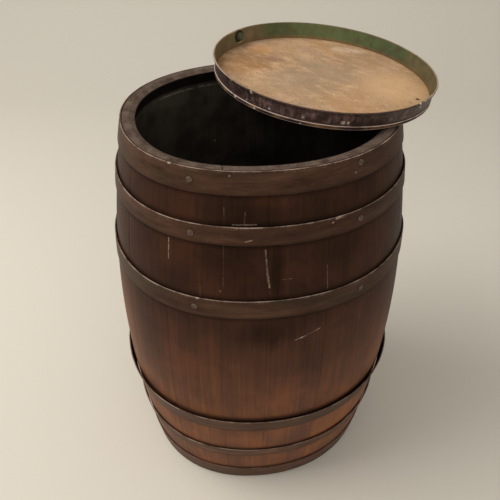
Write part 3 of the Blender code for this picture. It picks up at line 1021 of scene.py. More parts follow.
@dataclass(frozen=True)
class BossPaint:
    """The tray's boss: dark green paint on the dome with a painted highlight on its crown, a dark flange,
    and a painted highlight on the flange's lower edge.
    """

    dome: Colour = colour("#3f4030")
    # Painted highlight on the crown
    bright: Colour = colour("#6d6a4f")
    dark: Colour = colour("#2c2118")
    # Painted highlight on the flange's lower edge
    pale: Colour = colour("#a79a7e")
    spots: Noise = Noise(500.0, 3.0, 0.6)
    relief: float = 0.0003
    gloss: float = 0.15

    def material(self, tray: "Tray") -> bpy.types.Material:
        """The boss's material, by distance from its own axis.

        Args:
            tray: the tray, with its boss's sizes.

        Returns:
            The finished material.
        """
        radius = tray.boss_radius
        graph = Graph("boss_paint")
        own = graph.place("own")
        down, left, _ = graph.parts(own)
        spots = graph.noise(own, self.spots)
        out = down.apart(left)
        flange = out.rise(radius * 1.01, radius * 1.1)
        # Painted highlight: the flange's lower edge is pale
        lower = (down * 0.85 - left * 0.55).rise(radius * 0.25, radius * 0.8)
        rubbed = out.rise(radius * 1.1, radius * 1.2) * (spots.rise(0.3, 0.55) * 0.5 + 0.5)
        shade = graph.layered(
            self.dome,
            (graph.field("crown").rise(0.5, 0.95) * spots.rise(0.35, 0.65) * 0.8, self.bright),
            (flange, self.dark),
            (rubbed * lower, self.pale),
        )
        return graph.finish(shade, 0.45 + flange * 0.2, spots, self.relief, self.gloss)


@dataclass(frozen=True)
class TrayPaint:
    """Old paint on the tray's wall: green inside, purple-black outside, chipped at its edges."""

    green: Colour = colour("#505d39")
    green_dark: Colour = colour("#535036")
    olive: Colour = colour("#756746")
    rust: Colour = colour("#7b5a3b")
    outside: Colour = colour("#31231f")
    outside_light: Colour = colour("#5e4c4a")
    rim: Colour = colour("#a9937d")
    rim_dark: Colour = colour("#3c281d")
    chip: Colour = colour("#d3c8bd")
    hole: Colour = colour("#0c0a08")
    blush: Colour = colour("#8b6c5a")
    broad: Noise = Noise(26.0, 4.0, 0.6)
    mottles: Noise = Noise(95.0, 4.0, 0.65)
    fine: Noise = Noise(480.0, 3.0, 0.6)
    runs: Noise = Noise((330.0, 330.0, 40.0), 3.0, 0.6)
    green_across: tuple[Span, Span] = ((-0.105, -0.06), (0.142, 0.118))
    # Painted light and shade on the inner wall: lighter near the middle across the tray, darker towards +X
    painted_light_across: tuple[Span, Span] = ((-0.07, -0.01), (0.06, 0.02))
    painted_shade_across: Span = (0.05, 0.11)
    # Painted light on the outer wall between these distances across
    lit_across: tuple[Span, Span] = ((-0.105, -0.06), (0.03, -0.02))
    bare_ends: Span = (0.095, 0.140)
    bare_back: Span = (0.02, 0.09)
    rusty_foot: float = 0.0030
    rim_under_top: Span = (0.0011, 0.0004)
    worn_fray: tuple[float, float] = (0.030, 0.010)
    chip_fray: float = 0.0045
    hole_fray: float = 0.0020
    relief: float = 0.0003
    gloss: float = 0.25

    def material(self, tray: "Tray") -> bpy.types.Material:
        """The paint's material, chosen by which side of the wall a place is on.

        Inside, the green keeps to the back between two distances across the tray, with olive at
        both ends and rust along the floor; outside, pale scuffs run up the wall.

        Args:
            tray: the tray, with its sizes, chips, holes and worn places.

        Returns:
            The finished material.
        """
        height = tray.height
        seam = tray.seam_height
        graph = Graph("tray_paint")
        own = graph.place("own")
        inner = graph.field("inner")
        x, y, z = graph.parts(own)
        broad = graph.noise(own, self.broad)
        mottles = graph.noise(own, self.mottles)
        fine = graph.noise(own, self.fine)
        runs = graph.noise(own, self.runs)
        green = x.within(*self.green_across) * (broad * 0.9 + mottles * 0.9 + 0.1)
        paint = graph.blend(mottles.rise(0.36, 0.6) * 0.7 + 0.3, self.green_dark, self.green)
        rusty = z.rise(seam + self.rusty_foot, seam) * 0.55
        rusty = rusty + (runs * 0.5 + broad * 0.6).rise(0.6, 0.72) * 0.4
        worn_edge = (mottles - 0.5) * self.worn_fray[0] + (runs - 0.5) * self.worn_fray[1]
        thin = tray.chipped(own, tray.worn, worn_edge)
        inside = graph.layered(
            self.green_dark,
            (broad.rise(0.35, 0.62) * 0.6 + mottles * 0.4, self.olive),
            (green.rise(0.3, 0.85), paint),
            (rusty.least(1.0), self.rust),
            (thin.least(1.0), self.blush),
        )
        # Painted light and shade: the inner wall is lighter near the middle across the tray and darker
        # towards +X
        light = x.within(*self.painted_light_across) * 0.25 - x.rise(*self.painted_shade_across) * 0.22
        inside = graph.scaled(inside, light + mottles * 0.6 + runs * 0.25 + 0.58)
        band = z.rise(seam, height * 0.5) * z.rise(height, height * 0.6)
        scuffs = (runs * 0.5 + mottles * 0.5).rise(0.42, 0.6) * (band * 0.8 + 0.2)
        outside = graph.layered(
            self.outside,
            (scuffs * (broad.rise(0.3, 0.55) * 0.8 + 0.2), self.outside_light),
            ((mottles * 0.5 + broad * 0.5).rise(0.52, 0.62) * 0.12, self.rust),
        )
        # Painted light: the outer wall is lighter between these distances across
        outside = graph.scaled(outside, x.within(*self.lit_across) * 0.7 + 1.0)
        ends = abs(x).rise(*self.bare_ends)
        bare_rim = (ends * 0.75 + y.rise(*self.bare_back) * 0.3 + 0.08).least(1.0)
        rim = z.rise(height - self.rim_under_top[0], height - self.rim_under_top[1])
        flecks = fine.rise(0.66, 0.72) * (1.0 - inner) * 0.55
        bare = tray.chipped(own, tray.chips, (fine - 0.5) * self.chip_fray)
        dark = tray.chipped(own, tray.holes, (fine - 0.5) * self.hole_fray)
        shade = graph.layered(
            graph.blend(inner, outside, inside),
            (rim * 0.85, self.rim_dark),
            (rim * (mottles.rise(0.25, 0.5) * 0.6 + 0.4) * bare_rim, self.rim),
            ((flecks + bare).least(1.0), self.chip),
            (dark.least(1.0), self.hole),
        )
        rough = 0.36 + fine * 0.14 + inner * 0.14
        return graph.finish(shade, rough, fine * 0.4 + mottles * 0.6, self.relief, self.gloss)


@dataclass(frozen=True)
class TrayRust:
    """The pan: bare sheet mottled with tan, orange and grey-green stains."""

    tan: Colour = colour("#b39373")
    pale: Colour = colour("#d2b592")
    orange: Colour = colour("#b28554")
    pink: Colour = colour("#a3887a")
    moss: Colour = colour("#857e5f")
    umber: Colour = colour("#96693f")
    speck: Colour = colour("#4b3829")
    outside: Colour = colour("#2c1c1a")
    edge: Colour = colour("#c0aca2")
    bright: Colour = colour("#e2d6c8")
    stains: tuple[Stain, ...] = (
        Stain(-0.100, 0.040, 0.038, colour("#86664a"), 0.60),
        Stain(-0.062, 0.052, 0.026, colour("#8d6c58"), 0.50),
        Stain(-0.086, 0.084, 0.022, colour("#bd8b58"), 0.60),
        Stain(0.004, 0.016, 0.058, colour("#94806a"), 0.50),
        Stain(-0.030, -0.030, 0.050, colour("#a08b72"), 0.45),
        Stain(0.060, 0.072, 0.040, colour("#9d8064"), 0.40),
        Stain(0.104, -0.014, 0.055, colour("#d0aa80"), 0.60),
        Stain(-0.112, 0.014, 0.036, colour("#a5743f"), 0.45),
        Stain(0.040, -0.085, 0.045, colour("#b98f66"), 0.50),
        Stain(0.125, -0.042, 0.0030, colour("#1c130e"), 1.00),
        Stain(0.113, -0.054, 0.0024, colour("#5b432f"), 0.60),
    )
    scratched: tuple[float, float] = (0.047, 0.113)
    broad: Noise = Noise(13.0, 4.0, 0.55)
    other: Noise = Noise(17.0, 4.0, 0.6, (51.0, 85.0, 119.0))
    blots: Noise = Noise((34.0, 62.0, 40.0), 5.0, 0.62)
    streaks: Noise = Noise((130.0, 620.0, 200.0), 4.0, 0.65)
    dashes: Noise = Noise((150.0, 900.0, 200.0), 2.0)
    fine: Noise = Noise(640.0, 3.0, 0.6)
    pink_across: Span = (0.05, -0.09)
    dash_along: Span = (-0.03, -0.08)
    cuts_per_metre: Span = (38.0, 80.0)
    under_lip: Span = (0.0012, 0.0005)
    over_foot: Span = (0.0013, 0.0006)
    drawn: tuple[float, float] = (0.90, 0.42)
    cut_fade: Span = (1.3, 0.2)
    rusty_edge: Span = (0.930, 0.985)
    lip_across: Span = (0.985, 0.992)
    blob_fray: float = 0.0020
    relief: float = 0.0004
    gloss: float = 0.2

    def material(self, tray: "Tray") -> bpy.types.Material:
        """The pan's material.

        Stains lie over the tan, short streaks are drawn across them at a lean, given by its cosine
        and sine, and it is rustier towards the wall. Outside, the seam is dark between two rubbed
        edges.

        Args:
            tray: the tray, with its sizes and its blobs of solder.

        Returns:
            The finished material.
        """
        seam = tray.lip_height
        radius = tray.seam_radius
        graph = Graph("tray_rust")
        own = graph.place("own")
        x, y, z = graph.parts(own)
        ahead, aside = self.drawn
        turned = graph.vector(x * ahead - y * aside, x * aside + y * ahead, z)
        broad = graph.noise(own, self.broad)
        other = graph.noise(own, self.other)
        blots = graph.noise(turned, self.blots)
        streaks = graph.noise(turned, self.streaks)
        dashes = graph.noise(turned, self.dashes)
        fine = graph.noise(own, self.fine)
        ragged = (blots - 0.5) * 2.4 + (streaks - 0.5)
        shade = graph.layered(
            self.tan,
            (broad.rise(0.44, 0.6) * 0.5, self.orange),
            (other.rise(0.46, 0.62) * (x.rise(*self.pink_across) * 0.5 + 0.25), self.pink),
            (other.rise(0.46, 0.32) * 0.35, self.moss),
            (blots.rise(0.46, 0.68) * 0.4, self.pale),
            (streaks.rise(0.52, 0.66) * 0.35, self.pale),
            (streaks.rise(0.48, 0.34) * 0.3, self.umber),
            (fine.rise(0.42, 0.64) * 0.5, self.umber),
            (fine.rise(0.54, 0.34) * 0.3, self.pale),
            *((stain.mask(x, y, ragged), stain.shade) for stain in self.stains),
        )
        out = x.apart(y)
        thick = blots.rise(0.4, 0.55)
        dirt = (fine * 0.5 + streaks * 0.5).rise(0.6, 0.68) * blots.rise(0.5, 0.6)
        cut_x = (x - self.scratched[0]) * self.cuts_per_metre[0]
        cut_y = (y - self.scratched[1]) * self.cuts_per_metre[1]
        cuts = (cut_x * cut_x + cut_y * cut_y).rise(*self.cut_fade)
        share_out = out * (1.0 / radius)
        shade = graph.layered(
            graph.scaled(shade, blots * 0.5 + other * 0.3 + 0.61),
            (dashes.rise(0.62, 0.67) * y.rise(*self.dash_along) * thick * 0.75, self.speck),
            (dashes.rise(0.37, 0.32) * thick * 0.6, self.edge),
            (share_out.rise(*self.rusty_edge) * (blots * 0.3 + 0.05), self.umber),
            (dirt * 0.5, self.speck),
            (cuts * fine.rise(0.5, 0.56) * streaks.rise(0.46, 0.54) * 0.9, self.bright),
        )
        lip = z.rise(seam - self.under_lip[0], seam - self.under_lip[1]).most(z.rise(*self.over_foot))
        rubbed = lip * share_out.rise(*self.lip_across) * (blots.rise(0.3, 0.5) * 0.55 + 0.45)
        fray = (fine - 0.5) * self.blob_fray
        blobs = sum(blob.mask(own, radius, fray) for blob in tray.solder)
        under = graph.layered(
            self.outside,
            (blots.rise(0.4, 0.7) * 0.4, self.orange),
            ((rubbed + blobs).least(1.0), self.edge),
        )
        shade = graph.blend(graph.field("outside"), shade, under)
        relief = blots * 0.5 + streaks * 0.3 + fine * 0.2
        return graph.finish(shade, 0.55 + blots * 0.2, relief, self.relief, self.gloss)


# The cask

@dataclass(frozen=True)
class Band:
    """One hoop: its heights, the slack of its upper edge, its lap, how rubbed it is, and its nails.

    A nail is an azimuth and a rise over the hoop's middle.
    """

    name: str
    low: float
    high: float
    slack: float
    lap_azimuth: float
    rubbed: float
    nails: tuple[tuple[float, float], ...] = ()


@dataclass
class Cask:
    """The round of the cask, which every piece of it shares, and the place of its axis."""

    height: float = 0.560
    top_radius: float = 0.1782
    bottom_radius: float = 0.1822
    bilge_swell: float = 0.0303
    oval_rise: float = 0.0029
    oval_azimuth: float = 7.2
    three_rise: float = 0.0034
    three_azimuth: float = -0.4
    five_rise: float = 0.0012
    five_azimuth: float = 18.7
    stave_thickness: float = 0.0187
    croze_from_end: float = 0.0195
    croze_width: float = 0.0050
    croze_depth: float = 0.0040
    howel_depth: float = 0.0018
    touch: float = 0.0003
    axis: tuple[float, float] = (0.0, 0.0)

    @property
    def widest(self) -> float:
        """Radius of the bilge, at which azimuths are turned into lengths."""
        return (self.top_radius + self.bottom_radius) / 2.0 + self.bilge_swell

    @property
    def per_degree(self) -> float:
        """Length round the bilge for each degree."""
        return math.radians(self.widest)

    def radius(self, z: Grid) -> Grid:
        """Outer radius of the staves: a parabola for the bow over a straight taper.

        Args:
            z: heights.

        Returns:
            The radius at each height, without the springing.
        """
        along = 2.0 * z / self.height - 1.0
        middle = (self.top_radius + self.bottom_radius) / 2.0
        taper = (self.top_radius - self.bottom_radius) / 2.0
        return middle + taper * along + self.bilge_swell * (1.0 - along * along)

    def springing(self, azimuth: Grid) -> Grid:
        """How far the cask stands out of round: two cosine waves round it, and three, and five.

        Args:
            azimuth: azimuths in degrees.

        Returns:
            What is added to the radius at each azimuth.
        """
        oval = self.oval_rise * np.cos(np.radians(2.0 * (azimuth - self.oval_azimuth)))
        three = self.three_rise * np.cos(np.radians(3.0 * (azimuth - self.three_azimuth)))
        five = self.five_rise * np.cos(np.radians(5.0 * (azimuth - self.five_azimuth)))
        return oval + three + five

    def points(self, radius: Grid, azimuth: Grid, z: Grid) -> Grid:
        """Points of the frame from radius, azimuth and height about the cask's axis.

        Args:
            radius: distances from the axis.
            azimuth: azimuths in degrees.
            z: heights.

        Returns:
            The points, with their three numbers along the last axis.
        """
        radius, azimuth, z = np.broadcast_arrays(radius, azimuth, z)
        angle = np.radians(azimuth)
        x = self.axis[0] + radius * np.cos(angle)
        y = self.axis[1] + radius * np.sin(angle)
        return np.stack([x, y, z], axis=-1)

    def find_axis(self, band: Band, inner: float, thickness: float, steps: int) -> None:
        """Finds the axis: where a hoop's box says it is, less how far the hoop itself reaches.

        Args:
            band: the hoop whose node is read.
            inner: the hoop's largest inner radius, before springing.
            thickness: the hoop's thickness.
            steps: how many facets the node's hoop has round the cask.
        """
        azimuth = band.lap_azimuth + 360.0 * np.arange(steps) / steps
        reach = inner + thickness + self.springing(azimuth)
        low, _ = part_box(band.name)
        self.axis = (
            low.x - float((reach * np.cos(np.radians(azimuth))).min()),
            low.y - float((reach * np.sin(np.radians(azimuth))).min()),
        )


@dataclass
class Staves:
    """The staves, each bowed, bevelled on its joints and cut with chime, howel and croze."""

    cask: Cask
    widths: tuple[float, ...] = (
        0.073, 0.060, 0.080, 0.088, 0.070, 0.076, 0.066, 0.078, 0.072,
        0.077, 0.065, 0.074, 0.080, 0.069, 0.075, 0.071, 0.068, 0.076,
    )
    tones: tuple[float, ...] = (
        0.72, 0.42, 0.30, 0.46, 0.60, 0.36, 0.66, 0.41, 0.57,
        0.34, 0.63, 0.48, 0.38, 0.69, 0.44, 0.59, 0.64, 0.52,
    )
    first_joint: float = -122.0
    joint_gap: float = 0.00012
    joint_round: float = 0.0003
    end_round: float = 0.0011
    rim_flat: float = 0.0095
    rim_fall: float = 0.0038
    howel_start: float = 0.0080
    howel_run_out: float = 0.0200
    croze_draft: float = 0.0005
    rim_curve: float = 0.0040
    bevel_curve: float = 0.0012
    howel_curve: float = 0.0060
    croze_curves: tuple[float, float] = (0.0005, 0.0003)
    run_out_curve: float = 0.0100
    step: float = 0.0080
    columns: int = 14
    seed: int = 4
    flatness: float = 0.0002
    flatness_range: Span = (0.2, 1.0)
    inside_share: float = 0.62
    rim_share: float = 0.98
    marks: tuple[Mark, ...] = (
        Mark(-121.0, 0.469, -121.0, 0.441, 0.0007, 0.85),
        Mark(-101.0, 0.477, -101.0, 0.417, 0.0005, 0.22),
        Mark(-101.2, 0.518, -101.0, 0.506, 0.0008, 0.3),
        Mark(-93.8, 0.514, -94.1, 0.500, 0.0007, 0.35),
        Mark(-86.7, 0.467, -86.0, 0.440, 0.0013, 0.5),
        Mark(-86.0, 0.440, -85.2, 0.417, 0.0018, 0.7),
        Mark(-64.0, 0.435, -63.7, 0.401, 0.0007, 0.5),
        Mark(-109.0, 0.412, -109.0, 0.396, 0.0006, 0.3),
        Mark(-81.0, 0.426, -77.0, 0.4265, 0.0005, 0.4),
        Mark(-75.1, 0.331, -72.6, 0.3335, 0.0012, 1.0),
        Mark(-72.6, 0.3335, -65.7, 0.342, 0.0008, 0.8),
        Mark(-98.0, 0.4985, -90.0, 0.4990, 0.0010, 0.4),
        Mark(-102.0, 0.411, -102.0, 0.410, 0.0012, 0.6),
    )
    patches: tuple[Patch, ...] = (
        Patch(-84.5, 0.344, 0.040, 0.027, 0.60),
        Patch(-82.5, 0.436, 0.014, 0.038, 0.55),
        Patch(-96.0, 0.450, 0.050, 0.050, 0.35),
        Patch(-92.0, 0.512, 0.060, 0.018, 0.40),
        Patch(-60.0, 0.470, 0.060, 0.040, 0.20),
    )
    cracks: tuple[Mark, ...] = (
        Mark(-104.0, 0.0187, -103.2, 0.0100, 0.0009, 1.0),
        Mark(-103.2, 0.0100, -102.0, 0.0000, 0.0007, 0.9),
    )
    specks: tuple[Mark, ...] = (
        Mark(113.0, 0.4320, 113.2, 0.4330, 0.0022, 0.9),
    )

    def joints(self) -> Grid:
        """Azimuths of the joints, the widths shared out round the cask."""
        shares = np.cumsum((0.0,) + self.widths) / sum(self.widths)
        return self.first_joint + 360.0 * shares

    def outline(self) -> Grid:
        """A stave's closed outline in its own plane, as (height, depth under the outer face).

        Returns:
            The outline's points, one row each.
        """
        cask = self.cask
        thick = cask.stave_thickness
        hollow = thick - cask.howel_depth
        floor = hollow - cask.croze_depth
        groove = cask.croze_from_end + cask.croze_width
        edge, bed = self.croze_curves
        end = [
            (0.0, 0.0, self.end_round),
            (0.0, self.rim_flat, self.rim_curve),
            (self.rim_fall, thick, self.bevel_curve),
            (self.howel_start, thick - cask.howel_depth / 2.0, self.howel_curve),
            (cask.croze_from_end, hollow, edge),
            (cask.croze_from_end + self.croze_draft, floor, bed),
            (groove - self.croze_draft, floor, bed),
            (groove, hollow, edge),
            (groove + self.howel_run_out, thick, self.run_out_curve),
        ]
        head = [(cask.height - up, depth, curve) for up, depth, curve in reversed(end)]
        return rounded(head + end, self.step)

    def build(self, finishes: list[bpy.types.Material]) -> None:
        """Builds each stave as its outline carried across from joint to joint.

        Near a joint the outline shrinks along a quarter circle, which rounds the stave's edges,
        and the columns there draw close together.

        Args:
            finishes: the finish outside and on the rim, and the one inside.
        """
        cask = self.cask
        outline = self.outline()
        joints = self.joints()
        quarter = np.linspace(0.0, np.pi / 2.0, 4)
        inset = self.joint_gap / 2.0 + self.joint_round * (1.0 - np.cos(quarter))
        rims = [shrunk(outline, by) for by in self.joint_round * (1.0 - np.sin(quarter))]
        layers = np.stack(rims + [outline] * self.columns + rims[::-1], axis=1)
        depth = layers[..., 1]
        z = layers[..., 0]
        shares = np.linspace(0.0, 1.0, self.columns + 2)[1:-1]
        from_end = np.minimum(outline[:, 0], cask.height - outline[:, 0])
        inside = outline[:, 1] > cask.stave_thickness * self.inside_share
        inside &= from_end > self.rim_fall * self.rim_share
        numbers = np.repeat(inside[:, None], z.shape[1] - 1, axis=1).astype(np.int32)
        rng = np.random.default_rng(self.seed)
        for index, (start, end) in enumerate(zip(joints, joints[1:])):
            width = math.radians(end - start) * cask.top_radius
            middle = inset[-1] + (width - 2.0 * inset[-1]) * shares
            across = np.concatenate([inset, middle, (width - inset)[::-1]])
            azimuth = np.broadcast_to(start + (end - start) * across / width, z.shape)
            bow = np.cos(np.pi * (across / width - 0.5))
            flat = self.flatness * rng.uniform(*self.flatness_range) * (bow - 1.0)
            radius = cask.radius(z) - depth + cask.springing(azimuth) + flat
            fields = {
                "wood": np.stack([np.broadcast_to(across, z.shape), depth, z], axis=-1),
                "azimuth": np.where(azimuth > 180.0, azimuth - 360.0, azimuth),
                "tone": np.full(z.shape, self.tones[index]),
            }
            points = cask.points(radius, azimuth, z)
            name = f"stave_{index + 1:02d}"
            skin = Skin(points, row_ring=True, fields=fields, finishes=numbers)
            piece = skin.build(name + "_wood", finishes)
            dress(piece, Body.BARREL, [name])


@dataclass
class Head:
    """The bottom head: boards with a tongue round the rim that sits in the croze."""

    cask: Cask
    thickness: float = 0.0160
    below_tongue: float = 0.0038
    boards: int = 5
    grain_azimuth: float = 20.0
    joint_gap: float = 0.00025
    draft: float = 0.0005
    columns: int = 16
    side_inset: float = 0.0004
    samples: int = 1441
    seed: int = 11

    def outline(self) -> Grid:
        """Half a board's outline along its grain, as (inset from the croze's floor, height)."""
        cask = self.cask
        tongue_low = cask.croze_from_end + self.draft + cask.touch
        tongue_high = cask.croze_from_end + cask.croze_width - self.draft - cask.touch
        bottom = tongue_low - self.below_tongue
        top = bottom + self.thickness
        in_groove = cask.croze_depth + cask.touch
        return np.array([
            (in_groove + self.below_tongue, bottom),
            (in_groove, tongue_low),
            (cask.touch, tongue_low),
            (cask.touch, tongue_high),
            (in_groove, tongue_high),
            (in_groove + top - tongue_high, top),
        ])

    def build(self, finishes: list[bpy.types.Material]) -> None:
        """Builds each board as lines along the grain, as long as the round lets each be.

        At a distance across the grain, the board ends where the croze's round, drawn in by the
        outline's inset, has that distance across.

        Args:
            finishes: the boards' finish.
        """
        cask = self.cask
        z = np.array([cask.croze_from_end])
        groove = float(cask.radius(z)[0]) - cask.stave_thickness + cask.howel_depth + cask.croze_depth
        reach = groove + cask.oval_rise + cask.three_rise + cask.five_rise
        width = 2.0 * reach / self.boards
        turn = np.array(Matrix.Rotation(math.radians(self.grain_azimuth), 3, "Z"))
        profile = self.outline()
        angle = np.linspace(-np.pi, np.pi, self.samples)
        springing = cask.springing(np.degrees(angle) + self.grain_azimuth)
        spread = np.random.default_rng(self.seed)
        for board in range(self.boards):
            low = -reach + board * width + self.joint_gap / 2.0
            high = low + width - self.joint_gap
            rows = []
            for side in (-1.0, 1.0):
                for inset, height in profile if side < 0 else profile[::-1]:
                    ring = groove - inset + springing
                    along = ring * np.cos(angle)
                    across = ring * np.sin(angle)
                    half = side * along > 0.0
                    order = np.argsort(across[half])
                    limit = across[half][order]
                    start = max(low, float(limit[0]) + self.side_inset)
                    stop = min(high, float(limit[-1]) - self.side_inset)
                    shares = np.linspace(start, stop, self.columns)
                    ends = np.interp(shares, limit, along[half][order])
                    rows.append(np.stack([ends, shares, np.full(shares.shape, height)], axis=-1))
            grid = np.stack(rows)
            fields = {
                "wood": grid[..., [1, 2, 0]],
                "tone": np.full(grid.shape[:2], float(spread.uniform())),
            }
            points = grid @ turn.T + np.array([*cask.axis, 0.0])
            name = f"head_board_{board + 1}"
            piece = Skin(points, row_ring=True, fields=fields).build(name + "_wood", finishes)
            dress(piece, Body.BARREL, [name])


@dataclass
class Hoops:
    """Six riveted hoops, and the rivets and nails in them."""

    cask: Cask
    thickness: float = 0.0017
    fit: float = 0.0005
    facets: int = 72
    lap_facets: int = 3
    steps: int = 300
    edge_round: float = 0.0005
    dirt_reach: float = 0.0075
    back_round: float = 0.0004
    outline_step: float = 0.003
    wander: float = 0.00035
    ripple: float = 0.00015
    first_tone: float = 0.10
    tone_step: float = 0.17
    patchy_wear: tuple[float, float] = (0.35, 0.40)
    wander_counts: tuple[int, ...] = (2, 5, 9, 14)
    ripple_counts: tuple[int, ...] = (7, 11, 17, 23)
    wear_counts: tuple[int, ...] = (1, 3, 4, 7)
    wander_seed: int = 20
    ripple_seed: int = 70
    wear_seed: int = 90
    rivet_seed: int = 40
    nail_seed: int = 60
    lap_shares: tuple[float, float] = (0.25, 0.75)
    worn_azimuths: tuple[Span, Span] = ((-186.0, -148.0), (14.0, -36.0))
    bands: tuple[Band, ...] = (
        Band("chime_hoop_top", 0.5333, 0.5600, 0.0, 80.0, 0.85,
             ((-113.5, 0.0), (-49.5, 0.0055), (69.4, 0.0), (128.4, 0.0))),
        Band("quarter_hoop_top", 0.4738, 0.4968, 0.0010, 95.0, 0.9,
             ((-112.2, 0.0), (-50.6, 0.0), (70.2, 0.0), (129.6, 0.0))),
        Band("bilge_hoop_top", 0.3724, 0.3987, 0.0010, 85.0, 0.9,
             ((-110.7, 0.0), (-49.6, 0.0), (68.8, 0.0), (130.3, 0.0))),
        Band("bilge_hoop_bottom", 0.1510, 0.1760, 0.0042, 100.0, 0.75),
        Band("quarter_hoop_bottom", 0.0769, 0.0947, 0.0010, 80.0, 0.75),
        Band("chime_hoop_bottom", 0.0017, 0.0304, 0.0, 95.0, 0.30),
    )
    marks: tuple[Mark, ...] = (
        Mark(-93.6, 0.4795, -91.4, 0.4812, 0.0008, 0.6),
        Mark(-61.2, 0.4950, -59.0, 0.4965, 0.0010, 0.9),
        Mark(-62.6, 0.4910, -62.3, 0.4915, 0.0010, 0.9),
        Mark(-99.6, 0.5550, -99.3, 0.5553, 0.0010, 0.5),
        Mark(-52.1, 0.5420, -51.9, 0.5423, 0.0010, 0.7),
        Mark(-122.0, 0.5600, -121.4, 0.5600, 0.0016, 1.0),
        Mark(-97.0, 0.4960, -88.0, 0.4966, 0.0005, 0.5),
        Mark(-110.0, 0.3985, -109.4, 0.3985, 0.0016, 0.9),
    )
    nail_head: tuple[float, float] = (0.0036, 0.0012)
    nail_shank: tuple[float, float] = (0.0014, 0.0140)
    nail_squareness: float = 3.2
    rivet_head: tuple[float, float] = (0.0048, 0.0024)
    rivet_shank: float = 0.0022
    under_head: float = 0.00002
    dome_steps: int = 9
    dome_bluntness: float = 1.6
    neck_share: float = 0.97
    rim_wander: float = 0.05
    rim_counts: tuple[int, ...] = (2, 3, 5)
    turn_step: float = 17.0
    pattern_step: float = 0.01
    sides: int = 32

    def inner(self, band: Band, share: Grid | float) -> Grid | float:
        """Inner radius of a hoop, whose face is straight and splayed.

        Args:
            band: the hoop.
            share: the share of the way up its face.

        Returns:
            The radius there, without the springing.
        """
        ends = self.cask.radius(np.array([band.low, band.high]))
        foot = float(ends[0])
        head = float(ends[1]) + band.slack
        return self.fit + foot + (head - foot) * share

    def dirt(self) -> list[tuple[float, Colour]]:
        """Stops of a ramp by share of the height: white under each hoop, black a little way off.

        Returns:
            The stops, from the foot up.
        """
        height = self.cask.height
        stops = []
        for band in reversed(self.bands):
            stops.append((max(band.low - self.dirt_reach, 0.0) / height, BLACK))
            stops.append((band.low / height, WHITE))
            stops.append((band.high / height, WHITE))
            stops.append((min(band.high + self.dirt_reach, height) / height, BLACK))
        return stops

    def build_band(self, band: Band, number: int, finish: bpy.types.Material) -> None:
        """Builds one hoop: a rounded strip carried once round, lifted where it laps its start.

        Args:
            band: the hoop.
            number: its number from the top.
            finish: the iron's finish.
        """
        cask = self.cask
        width = band.high - band.low
        thick = self.thickness
        corners = [
            (0.0, 0.0, self.back_round),
            (thick, 0.0, self.edge_round),
            (thick, width, self.edge_round),
            (0.0, width, self.back_round),
        ]
        outline = rounded(corners, self.outline_step)
        out = outline[:, :1]
        up = outline[:, 1:]
        facet = 360.0 / self.facets
        turned = np.linspace(-360.0, self.lap_facets * facet, self.steps)[None, :]
        lift = smoothstep(-facet, 0.0, turned) * (thick + cask.touch)
        turned = turned + band.lap_azimuth
        free = number not in (0, len(self.bands) - 1)
        stray = self.wander if free else 0.0
        wander = waves(turned, self.wander_seed + number, self.wander_counts) * stray
        ripple = waves(turned, self.ripple_seed + number, self.ripple_counts) * self.ripple
        radius = self.inner(band, up / width) + out + cask.springing(turned) + lift + ripple
        z = np.broadcast_to(band.low + up + wander, radius.shape)
        left, right = self.worn_azimuths
        window = smoothstep(*left, turned) * smoothstep(*right, turned)
        usual, swing = self.patchy_wear
        patchy = usual + swing * waves(turned, self.wear_seed + number, self.wear_counts)
        rubbed = band.rubbed * np.maximum(window, np.clip(patchy, 0.0, 1.0))
        fields = {
            "band": np.stack(np.broadcast_arrays(turned * cask.per_degree, up, width - up), axis=-1),
            "azimuth": np.broadcast_to(turned, radius.shape),
            "height": z,
            "wear": np.broadcast_to(rubbed, radius.shape),
            "tone": np.full(radius.shape, self.first_tone + self.tone_step * number),
        }
        skin = Skin(cask.points(radius, turned, z), row_ring=True, fields=fields)
        piece = skin.build(band.name + "_band", [finish])
        dress(piece, Body.BARREL, [band.name])

    def seat(self, band: Band, azimuth: float, out: float, above_middle: float = 0.0) -> Matrix:
        """The place of a fastener that sits square on a hoop's face.

        Args:
            band: the hoop.
            azimuth: where round the cask.
            out: how far out from the hoop's inner face.
            above_middle: how far up from the hoop's middle.

        Returns:
            A matrix whose Z points out of the face.
        """
        width = band.high - band.low
        splay = math.atan2(self.inner(band, 1.0) - self.inner(band, 0.0), width)
        share = 0.5 + above_middle / width
        near = self.cask.springing(np.array([azimuth - 1.0, azimuth, azimuth + 1.0]))
        radius = self.inner(band, share) + float(near[1]) + out
        swing = math.atan2(math.degrees(float(near[2] - near[0]) / 2.0), radius)
        height = np.array([band.low + width * share])
        spot = self.cask.points(np.array([radius]), np.array([azimuth]), height)[0]
        turn = Matrix.Rotation(math.radians(azimuth) - swing, 4, "Z")
        lean = Matrix.Rotation(math.radians(90.0) + splay, 4, "Y")
        return Matrix.Translation(Vector(spot)) @ turn @ lean

